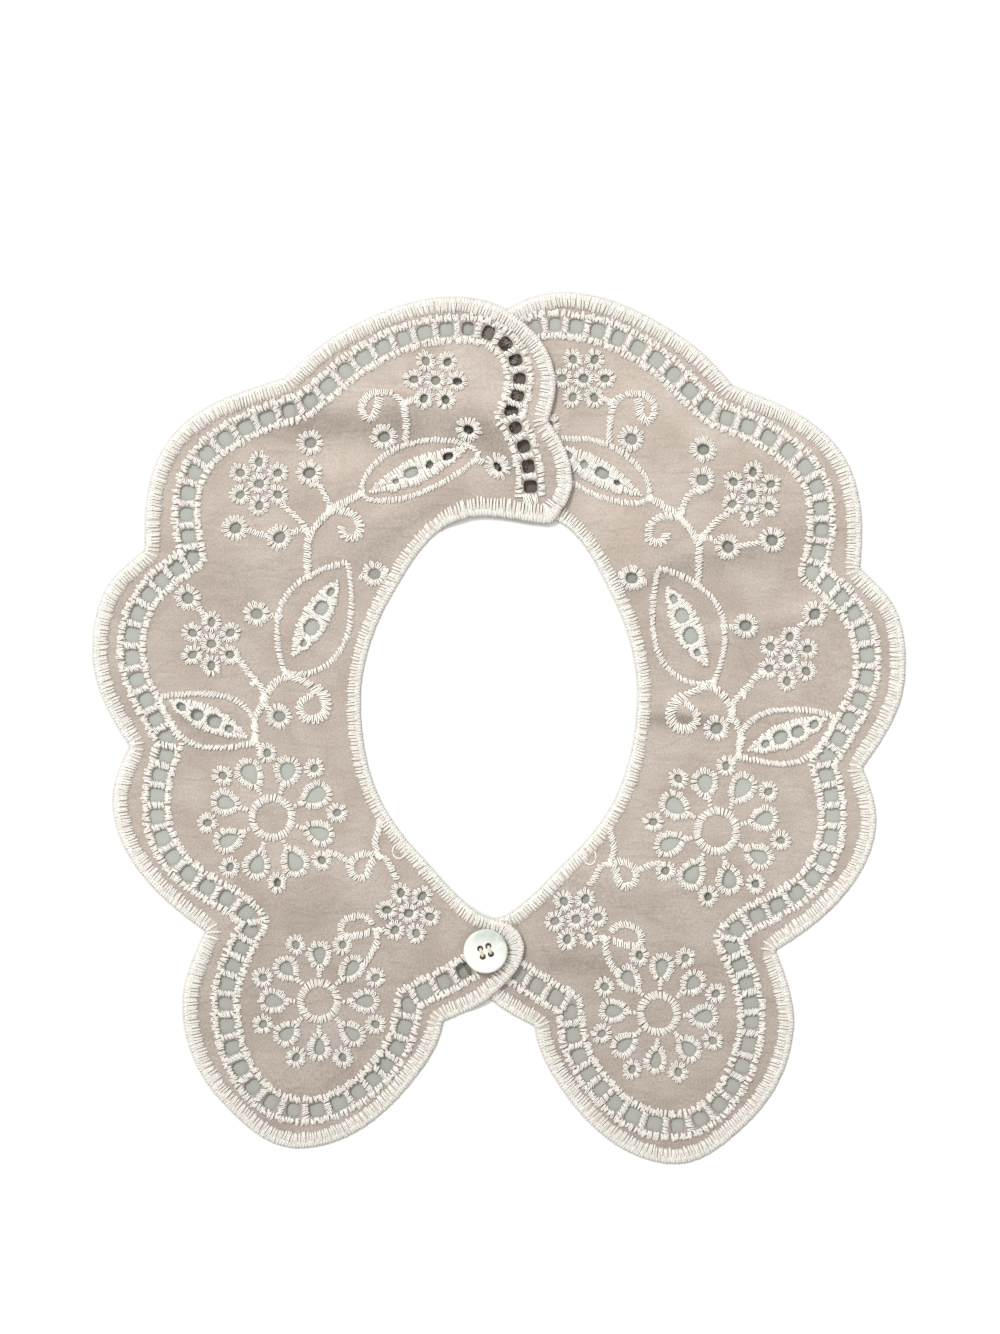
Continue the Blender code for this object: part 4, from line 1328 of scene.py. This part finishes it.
# %% Sew the motifs
# Stems, each a soft line through its places. Columns: width, places.
STEMS = [
    (2.2, [(-27.4, 111.4), (-29.4, 111.0), (-31.4, 110.2)]),
    (2.3, [(-35.6, 112.7), (-33.1, 110.8), (-32.0, 108.4), (-31.6, 105.3), (-31.2, 102.3), (-31.4, 98.9),
           (-31.7, 96.8)]),
    (2.5, [(-46.6, 79.1), (-52.1, 76.2), (-56.3, 74.1), (-59.4, 71.0), (-62.5, 67.8), (-64.6, 63.6),
           (-64.9, 59.0), (-65.0, 54.4), (-64.5, 50.4)]),
    (2.1, [(-64.2, 82.2), (-61.0, 81.9), (-59.3, 79.3), (-57.7, 75.7), (-56.8, 73.8)]),
    (2.5, [(-57.6, 73.0), (-55.6, 73.2)]),
    (2.3, [(-73.8, 75.4), (-70.6, 73.0), (-68.3, 70.9), (-66.4, 68.4), (-64.9, 66.6)]),
    (2.0, [(-85.4, 66.6), (-81.4, 65.4), (-78.6, 64.8)]),
    (2.0, [(-70.6, 65.6), (-67.6, 66.6), (-65.0, 66.6)]),
    (2.0, [(-102.4, 40.6), (-100.4, 38.4), (-98.8, 36.8)]),
    (2.0, [(-78.0, 37.6), (-75.6, 37.4), (-73.6, 37.2)]),
    (2.3, [(-90.4, 23.6), (-87.6, 22.0), (-84.8, 18.1), (-82.1, 15.3), (-79.9, 11.9), (-79.7, 8.5)]),
    (2.7, [(-79.7, 8.5), (-78.2, 11.6), (-75.2, 15.3), (-71.3, 17.0), (-67.4, 15.9), (-63.4, 14.0)]),
    (2.1, [(-79.7, 8.5), (-81.5, 5.1), (-83.1, 1.7), (-83.1, -1.7), (-82.6, -5.6)]),
    (2.0, [(-78.0, 5.8), (-79.4, 7.6)]),
    (2.0, [(-82.4, -5.4), (-80.4, -8.2)]),
    (2.0, [(-47.6, 50.4), (-44.8, 51.4)]),
    (2.0, [(-39.6, 52.4), (-37.4, 53.0)]),
    (2.0, [(-8.6, 90.4), (-4.8, 89.8)]),
    (2.2, [(-40.4, -31.5), (-40.6, -34.4), (-42.0, -38.4), (-41.4, -41.7), (-40.8, -44.4)]),
    (2.0, [(-40.8, -44.4), (-38.0, -45.1), (-36.3, -48.5), (-34.6, -51.8)]),
    (2.1, [(-38.6, -69.2), (-41.6, -69.2)]),
    (2.2, [(-41.4, -69.6), (-41.4, -73.1), (-42.5, -76.0), (-44.2, -79.0), (-46.6, -81.6)]),
    (2.0, [(-58.9, -42.6), (-54.6, -43.8), (-50.6, -46.0)]),
]
# Curls, whose longer stitches stand square to the line. Columns: width at the start and the end, places.
CURLS = [
    (2.0, 3.2, [(-36.0, 113.2), (-39.4, 113.6), (-43.3, 113.0), (-45.9, 110.6), (-46.4, 107.6),
                (-45.2, 105.1), (-43.3, 104.4), (-41.6, 106.6), (-40.8, 109.5), (-40.3, 111.8)]),
    (2.6, 3.0, [(-55.0, 73.4), (-52.4, 73.2), (-49.4, 72.0), (-47.2, 69.0), (-47.4, 65.4), (-50.0, 64.0),
                (-52.6, 65.2), (-53.3, 68.0)]),
    (4.2, 2.2, [(-62.9, 13.4), (-59.4, 10.6), (-58.4, 6.4), (-60.2, 3.2), (-63.6, 2.3), (-66.8, 3.7),
                (-67.6, 6.6), (-66.0, 9.2), (-62.8, 11.0)]),
    (2.2, 2.9, [(-42.2, -43.6), (-45.3, -43.2), (-48.9, -44.8), (-50.4, -47.6), (-49.2, -50.6),
                (-46.4, -51.7), (-44.2, -49.8), (-43.4, -47.0), (-42.0, -45.0)]),
    (2.2, 2.6, [(-42.4, -67.0), (-45.8, -64.4), (-49.8, -64.7), (-53.1, -66.9), (-53.3, -70.2),
                (-50.6, -71.4), (-46.8, -70.9), (-43.4, -69.8)]),
]
# Where stems meet, the thread is fastened with a small heap of stitches. Columns: x, y.
KNOTS = [
    (-64.8, 66.2), (-58.0, 72.9), (-31.7, 110.2), (-79.8, 9.3), (-83.0, 14.8), (-82.9, -5.0),
    (-40.9, -44.1), (-46.8, 79.0), (-72.4, 18.4), (-41.2, -69.4), (-57.4, 74.2), (-83.0, 0.4),
]
# A single thread's loop beside the neck edge. Columns: x, y, radius.
LOOSE_LOOP = (-33.9, -42.4, 2.5)
RAY_PITCH = 1.12
RAY_GAP = 0.52
CLOSE_GAP = 0.44
WIDE_GAP = 0.62
PETAL_RAY = 2.1
# Each petal's point: the stitches' width at the petal and at the ring, and their pitch.
PETAL_POINT_WIDTH = (2.3, 1.3)
PETAL_POINT_PITCH = 1.15
LEAF_RAY = 1.15
RING_WIDTH = 2.9
RING_PITCH = 1.12
LEAF_LINE_WIDTH = 2.2
LEAF_LINE_PITCH = 1.2
STEM_PITCH = 1.36
STEM_STRAND = 0.6
# How far stitches lean along their line (radians), by where they are.
POINT_LEAN = 0.2
RING_LEAN = 0.25
LEAF_LINE_LEAN = 0.45
STEM_LEAN = 0.5
CURL_LEAN = 0.3
# Stitches reach a little past the width that a stem's or a curl's table gives: by these shares.
STEM_SPILL = 1.1
CURL_SPILL = (1.1, 1.05)
KNOT_STITCHES = 4
KNOT_REACH = 1.0
MOTIF_CROWN = 0.55


def motif_stitches(seed):
    """Every motif's runs of stitches, by piece: the runs, the shape of their loop, and its width."""
    rng = np.random.default_rng(seed)
    eyelets = [rays(loop, ring - (length + width) / 4, RAY_PITCH, rng)
               for loop, (_, _, length, width, ring) in zip(eyelet_loops, round_eyelets())]
    petal_rays = [rays(loop, PETAL_RAY, RAY_PITCH, rng) for loop in petal_loops]
    points = [slanting(petal_point(place, heading, length, centre, ring), PETAL_POINT_WIDTH,
                       PETAL_POINT_PITCH, POINT_LEAN, rng, 0.15)
              for place, heading, length, _, centre, ring in petals()]
    rings = []
    for x, y, _, _, turn, _, _, ring in LARGE_FLOWERS:
        circle = oval((x, y), math.radians(turn), 2 * ring, 2 * ring, 40)
        rings.append(slanting(np.vstack([circle, circle[:1]]), RING_WIDTH, RING_PITCH, RING_LEAN, rng))
    leaf_lines = [slanting(leaf_side(row, side), LEAF_LINE_WIDTH, LEAF_LINE_PITCH, LEAF_LINE_LEAN, rng)
                  for row in LEAVES for side in (-1, 1)]
    middles = [middle_stitches(row, side, rng) for row in LEAF_MIDDLES for side in (-1, 1)]
    leaf_rays = [rays(loop, LEAF_RAY, RAY_PITCH, rng, 0.2) for loop in leaf_loops]
    stems = [slanting(soft_line(places, 0.5), width * STEM_SPILL, STEM_PITCH, STEM_LEAN, rng)
             for width, places in STEMS]
    curls = [slanting(soft_line(places, 0.5), (first * CURL_SPILL[0], last * CURL_SPILL[1]),
                      STEM_PITCH, CURL_LEAN, rng) for first, last, places in CURLS]
    knots = []
    for x, y in KNOTS:
        middle = np.array([x, y]) + rng.normal(0, 0.45, (KNOT_STITCHES, 2))
        angle = rng.uniform(0, 2 * np.pi, KNOT_STITCHES)
        way = np.column_stack([np.cos(angle), np.sin(angle)]) * KNOT_REACH
        knots.append((middle - way, middle + way))
    return {
        "eyelets": [(eyelets, RAY_LOOP, RAY_GAP)],
        "rosettes": [(petal_rays, RAY_LOOP, RAY_GAP), (points, LOOP, CLOSE_GAP), (rings, LOOP, CLOSE_GAP)],
        "leaves": [(leaf_rays, RAY_LOOP, CLOSE_GAP), (leaf_lines, LOOP, CLOSE_GAP),
                   (middles, LOOP, CLOSE_GAP)],
        "stems": [(stems, LOOP, WIDE_GAP), (curls, LOOP, WIDE_GAP), (knots, LOOP, CLOSE_GAP)],
    }


def joined(rows):
    """The feet and the tips of several runs of stitches, each as one array."""
    return np.concatenate([row[0] for row in rows]), np.concatenate([row[1] for row in rows])


def loose_loop(half):
    """A single thread that lies in a ring beside the neck edge."""
    x, y, radius = LOOSE_LOOP
    arcs = []
    for start in (0.3, 0.3 + math.pi):
        angle = start + np.linspace(0, math.pi, len(LOOP))
        flat = np.column_stack([x + 0.85 * radius * np.cos(angle), y + radius * np.sin(angle)])
        laid = lay(flat, half)
        arcs.append(np.column_stack([laid, height_at(laid, half) + CLOTH_THICKNESS + 0.15]))
    return np.array(arcs)


for number, half in enumerate(HALVES):
    for kind, groups in motif_stitches(71 + number).items():
        found = [loop_paths(*joined(rows), half, 101 + 10 * number + index, gap, MOTIF_CROWN, loop=loop)
                 for index, (rows, loop, gap) in enumerate(groups)]
        if kind == "stems":
            found.append(loose_loop(half))
        paths = np.concatenate(found)
        strand = STEM_STRAND if kind == "stems" else STRAND
        sewn[half].append(make_thread(f"{kind}_{half}", paths, 81 + number, half, strand))
        print(half, kind, "stitches:", len(paths))

# %% [markdown]
# The button
#
# A four-hole pearl button, 15 mm across, fastens the front lap. It is a turned disc with a shallow
# dish and a soft rim. Pearl is pale and glossy. A faint green and grey cloud towards the upper right is
# partly the nacre's own and partly painted sheen and shade. Thread runs over it between the upper
# and lower holes, and round a short shank below it.

# %% The pearl
PEARL_PALE = (0.79, 0.80, 0.765)
# The cloud towards the upper right is partly the nacre's own and partly painted sheen and shade.
PEARL_CLOUD_AND_PAINTED_SHEEN = (0.40, 0.475, 0.39)
CLOUDS_PER_METRE = 170
PAINTED_SHEEN_REACH = 7.0 * MM
button_low, button_high = (np.array(corner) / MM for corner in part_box("button"))
button_middle = (button_low + button_high) / 2
BUTTON_BASE = button_low[2]


def pearl():
    """Pale polished shell with a faint green and grey cloud to the upper right: nacre and painted sheen."""
    material, tree, shader = new_material("pearl", 0.28, 0.4)
    shader.inputs["Coat Weight"].default_value = 0.25
    shader.inputs["Coat Roughness"].default_value = 0.08
    places = add_node(tree, "ShaderNodeTexCoord", "places on the button").outputs["Object"]
    cloud = noise(tree, "cloud", places, CLOUDS_PER_METRE, 3)
    cloud.inputs["Distortion"].default_value = 0.9
    split = add_node(tree, "ShaderNodeSeparateXYZ", "across and along")
    tree.links.new(places, split.inputs["Vector"])
    right = math_node(tree, "to the right", "SUBTRACT", split.outputs["X"], float(button_middle[0]) * MM)
    up = math_node(tree, "upwards", "SUBTRACT", split.outputs["Y"], float(button_middle[1]) * MM)
    less = math_node(tree, "less so", "MULTIPLY", right, 0.6)
    # Painted sheen and shade: the cloud is kept to the button's upper right.
    near = spread(tree, math_node(tree, "to the upper right", "ADD", less, up), 0.0, PAINTED_SHEEN_REACH)
    mask = math_node(tree, "cloud there", "MULTIPLY", near, spread(tree, cloud.outputs["Fac"], 0.25, 0.6))
    tree.links.new(blend_colours(tree, mask, PEARL_PALE, PEARL_CLOUD_AND_PAINTED_SHEEN), shader.inputs["Base Color"])
    return material


print("button, in mm:", [round(float(value), 1) for value in button_high - button_low])

# %% Turn the button
BUTTON_RADIUS = 7.5
BUTTON_THICKNESS = 2.4
BUTTON_DISH = 0.4
BUTTON_HOLE_RADIUS = 1.05
BUTTON_HOLE_SPACING = 2.9
BUTTON_TURN = 18.0
BUTTON_SIDES = 96
HOLE_DRILL_SIDES = 32
RIM = 0.12
# The section, from the axis above to the axis below. Columns: share of the radius, share of the
# thickness, share of the dish taken off.
BUTTON_SECTION = [
    (0.0, 1.0, 1.0),
    (0.35, 1.0, 0.93),
    (0.55, 1.0, 0.75),
    (0.68, 1.0, 0.35),
    (0.76, 1.0, 0.08),
    (0.82, 1.0, 0.0),
    (0.89, 0.99, 0.0),
    (0.95, 0.92, 0.0),
    (0.985, 0.76, 0.0),
    (1.0, 0.5, 0.0),
    (0.97, 0.26, 0.0),
    (0.91, 0.12, 0.0),
    (0.75, 0.0, 0.0),
    (0.0, 0.0, 0.0),
]


def button_holes():
    """The four holes' places on the table, from the upper right round to the left."""
    reach = BUTTON_HOLE_SPACING / math.sqrt(2)
    return [np.array(place) for place, _ in around(*button_middle[:2], reach, BUTTON_TURN + 45, 4)]


def make_button():
    """The pearl disc with its four holes."""
    profile = [(BUTTON_RADIUS * out * MM, 0, (BUTTON_BASE + BUTTON_THICKNESS * up - BUTTON_DISH * dish) * MM)
               for out, up, dish in BUTTON_SECTION]
    mesh = bpy.data.meshes.new("button_turning")
    mesh.from_pydata(profile, [(index, index + 1) for index in range(len(profile) - 1)], [])
    disc = in_scene("button_turning", mesh)
    disc.location = (button_middle[0] * MM, button_middle[1] * MM, 0)
    turn = disc.modifiers.new("turn", "SCREW")
    turn.steps = BUTTON_SIDES
    turn.render_steps = BUTTON_SIDES
    turn.use_merge_vertices = True
    turn.merge_threshold = 0.00001
    drills = []
    for place in button_holes():
        bpy.ops.mesh.primitive_cylinder_add(
            vertices=HOLE_DRILL_SIDES, radius=BUTTON_HOLE_RADIUS * MM, depth=8 * MM,
            location=(place[0] * MM, place[1] * MM, (BUTTON_BASE + BUTTON_THICKNESS / 2) * MM))
        drills.append(bpy.context.object)
        disc.modifiers.new("bore", "BOOLEAN").object = drills[-1]
    soften = disc.modifiers.new("soft rims", "BEVEL")
    soften.width = RIM * MM
    soften.segments = 2
    soften.angle_limit = math.radians(50)
    graph = bpy.context.evaluated_depsgraph_get()
    turned = bpy.data.meshes.new_from_object(disc.evaluated_get(graph))
    for helper in (disc, *drills):
        bpy.data.objects.remove(helper)
    turned.name = "pearl_button"
    turned.materials.clear()
    turned.materials.append(pearl())
    turned.set_sharp_from_angle(angle=math.radians(35))
    turned.transform(Matrix.Translation((button_middle[0] * MM, button_middle[1] * MM, 0)))
    return in_scene("pearl_button", turned)


button = make_button()
print("button's faces:", len(button.data.polygons))

# %% Sew the button on
# Strands of thread that lie over the button. Columns: place across, height above the button.
STRANDS_OVER = [(-0.3, 0.12), (0.3, 0.12), (0.0, 0.3), (-0.1, 0.2)]
# How far a strand's points are from its hole.
STRAND_REACH = (0.0, 0.1, 0.5, 1.0)
BUTTON_STRAND = 0.42
SHANK_TURNS = 6
SHANK_PITCH = 0.32
SHANK_RADII = (1.9, 1.5)
BUTTON_FLOSS_PALE = (0.80, 0.74, 0.60)
BUTTON_FLOSS_WARM = (0.70, 0.63, 0.48)


def button_thread_paths():
    """Strands over the button between its upper and lower holes, and wraps round the shank."""
    holes = button_holes()
    top = BUTTON_BASE + BUTTON_THICKNESS - BUTTON_DISH
    paths = []
    for start, end in ((holes[0], holes[3]), (holes[1], holes[2])):
        way = (end - start) / np.linalg.norm(end - start)
        across = np.array([-way[1], way[0]])
        for aside, lift in STRANDS_OVER:
            levels = (BUTTON_BASE - 0.5, top - 0.3, top + lift * 0.8, top + lift)
            steps = list(zip(STRAND_REACH, levels))
            out = [(*(start + across * aside + way * far), level) for far, level in steps]
            back = [(*(end + across * aside - way * far), level) for far, level in steps[::-1]]
            paths.append(out + back)
    for turn in range(SHANK_TURNS):
        level = BUTTON_BASE - 0.15 - turn * SHANK_PITCH
        paths.append([(button_middle[0] + SHANK_RADII[0] * math.cos(angle),
                       button_middle[1] + SHANK_RADII[1] * math.sin(angle), level - 0.02 * index)
                      for index, angle in enumerate(np.linspace(0, 2 * np.pi, 8) + turn)])
    return np.array(paths)


button_floss = floss("button_floss", BUTTON_FLOSS_PALE, BUTTON_FLOSS_WARM)
button_stitches = make_thread("button_stitches", button_thread_paths(), 91, strand=BUTTON_STRAND,
                              material=button_floss)
print("stitches and wraps on the button:", len(button_thread_paths()))

# %% [markdown]
# What lies under the collar
#
# Seen from above, an opening shows what the collar lies on. A sheet of grey-green paper lies under it
# on the white table, and fades to white just outside the edge, so that the openings read clearly and
# the table round the collar stays plain. Where the two halves lap, little light comes through, and the
# paper there is painted dark: painted shade. It is painted darker in small openings and low in front too.

# %% Lay the paper
PAPER_STEP = 1.0
PAPER_HALF = (143, 153)
PAPER_FADE = (-1.4, 1.5)
PAPER_COLOUR = (0.425, 0.437, 0.392)
# The paper's colour in painted shade: under small openings and low in the front.
PAPER_PAINTED_SHADE = (0.325, 0.32, 0.28)
# The paper's colour in painted shade, where both halves lie over it.
PAPER_PAINTED_LAP_SHADE = (0.11, 0.09, 0.075)
# How far round a small eyelet's middle the painted shade reaches in full, in mm.
PAINTED_SHADE_REACH = 3.2
# The paper is painted darker low in the front: painted shade. Rows: y on the table, share of the darker
# colour.
LOW_PAPER = ([-75, -45], [0.6, 0])


def paper_finish():
    """Grey-green under the collar and white outside; painted shade in small openings and under the lap."""
    material, tree, shader = new_material("grey_green_paper", 0.9, 0.2)
    # Painted shade: under small openings and low in the front.
    shaded = attribute(tree, "under a small opening or low in the front", "shaded")
    below = blend_colours(tree, shaded, PAPER_COLOUR, PAPER_PAINTED_SHADE)
    shade = blend_colours(tree, attribute(tree, "how far under the collar", "tint"), TABLE_COLOUR, below)
    # Painted shade under both halves.
    lapped = attribute(tree, "under both halves", "lapped")
    tree.links.new(blend_colours(tree, lapped, shade, PAPER_PAINTED_LAP_SHADE), shader.inputs["Base Color"])
    return material


def lay_paper():
    """The sheet of paper, as a grid of squares near the collar."""
    xs, ys = (np.arange(-reach, reach + PAPER_STEP / 2, PAPER_STEP) for reach in PAPER_HALF)
    x, y = np.meshgrid(xs, ys)
    points = np.column_stack([x.ravel(), y.ravel()])
    left, right = (signed_distance(points, outlines[half]) for half in HALVES)
    apart = np.minimum(left, right)
    corner = np.arange(len(points)).reshape(x.shape)[:-1, :-1].ravel()
    squares = corner[:, None] + (0, 1, len(xs) + 1, len(xs))
    squares = squares[apart[squares].min(axis=1) < PAPER_FADE[1] + PAPER_STEP]
    used, numbered = np.unique(squares, return_inverse=True)
    points, apart, lap = points[used], apart[used], -np.maximum(left, right)[used]
    tint = smooth(1 - np.clip((apart - PAPER_FADE[0]) / (PAPER_FADE[1] - PAPER_FADE[0]), 0, 1))
    # Painted shade: the paper is darker near the small eyelets and low in the front.
    middles = np.array([loop.mean(axis=0) for loop in eyelet_loops])
    small = np.vstack([lay(middles, half) for half in HALVES])
    nearest = np.array([np.hypot(*(small - point).T).min() for point in points])
    shaded = np.maximum(np.interp(points[:, 1], *LOW_PAPER), np.clip(1 - (nearest - PAINTED_SHADE_REACH), 0, 1))
    vertices = np.column_stack([points, np.zeros(len(points))])
    # The paper is painted dark where both halves lie over it: painted shade.
    sheet = mesh_piece("paper", vertices, numbered.reshape(-1, 4).tolist(), paper_finish(),
                       tint=tint, lapped=np.clip(lap / PAINTED_SHADE_RAMP, 0, 1), shaded=shaded)
    sheet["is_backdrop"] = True
    return len(points)


print("points in the paper's grid:", lay_paper())

# %% [markdown]
# Tie everything to the frame
#
# The collar has no moving part, so every piece rides on the one body. The cloth stands for the two
# solid halves.

# %% Ride and replace
for half in HALVES:
    cloth = cloths[half]
    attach(cloth, "root")
    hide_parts(f"collar_{half}")
    for piece in sewn[half]:
        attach(piece, "root")
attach(button, "root")
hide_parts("button")
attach(button_stitches, "root")
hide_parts("button_thread")

# %% Measure and finish
triangles_in_all = 0
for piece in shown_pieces():
    triangles = sum(len(polygon.vertices) - 2 for polygon in piece.data.polygons)
    triangles_in_all += triangles
    print(piece.name, "triangles:", triangles)
print("triangles in all:", triangles_in_all)
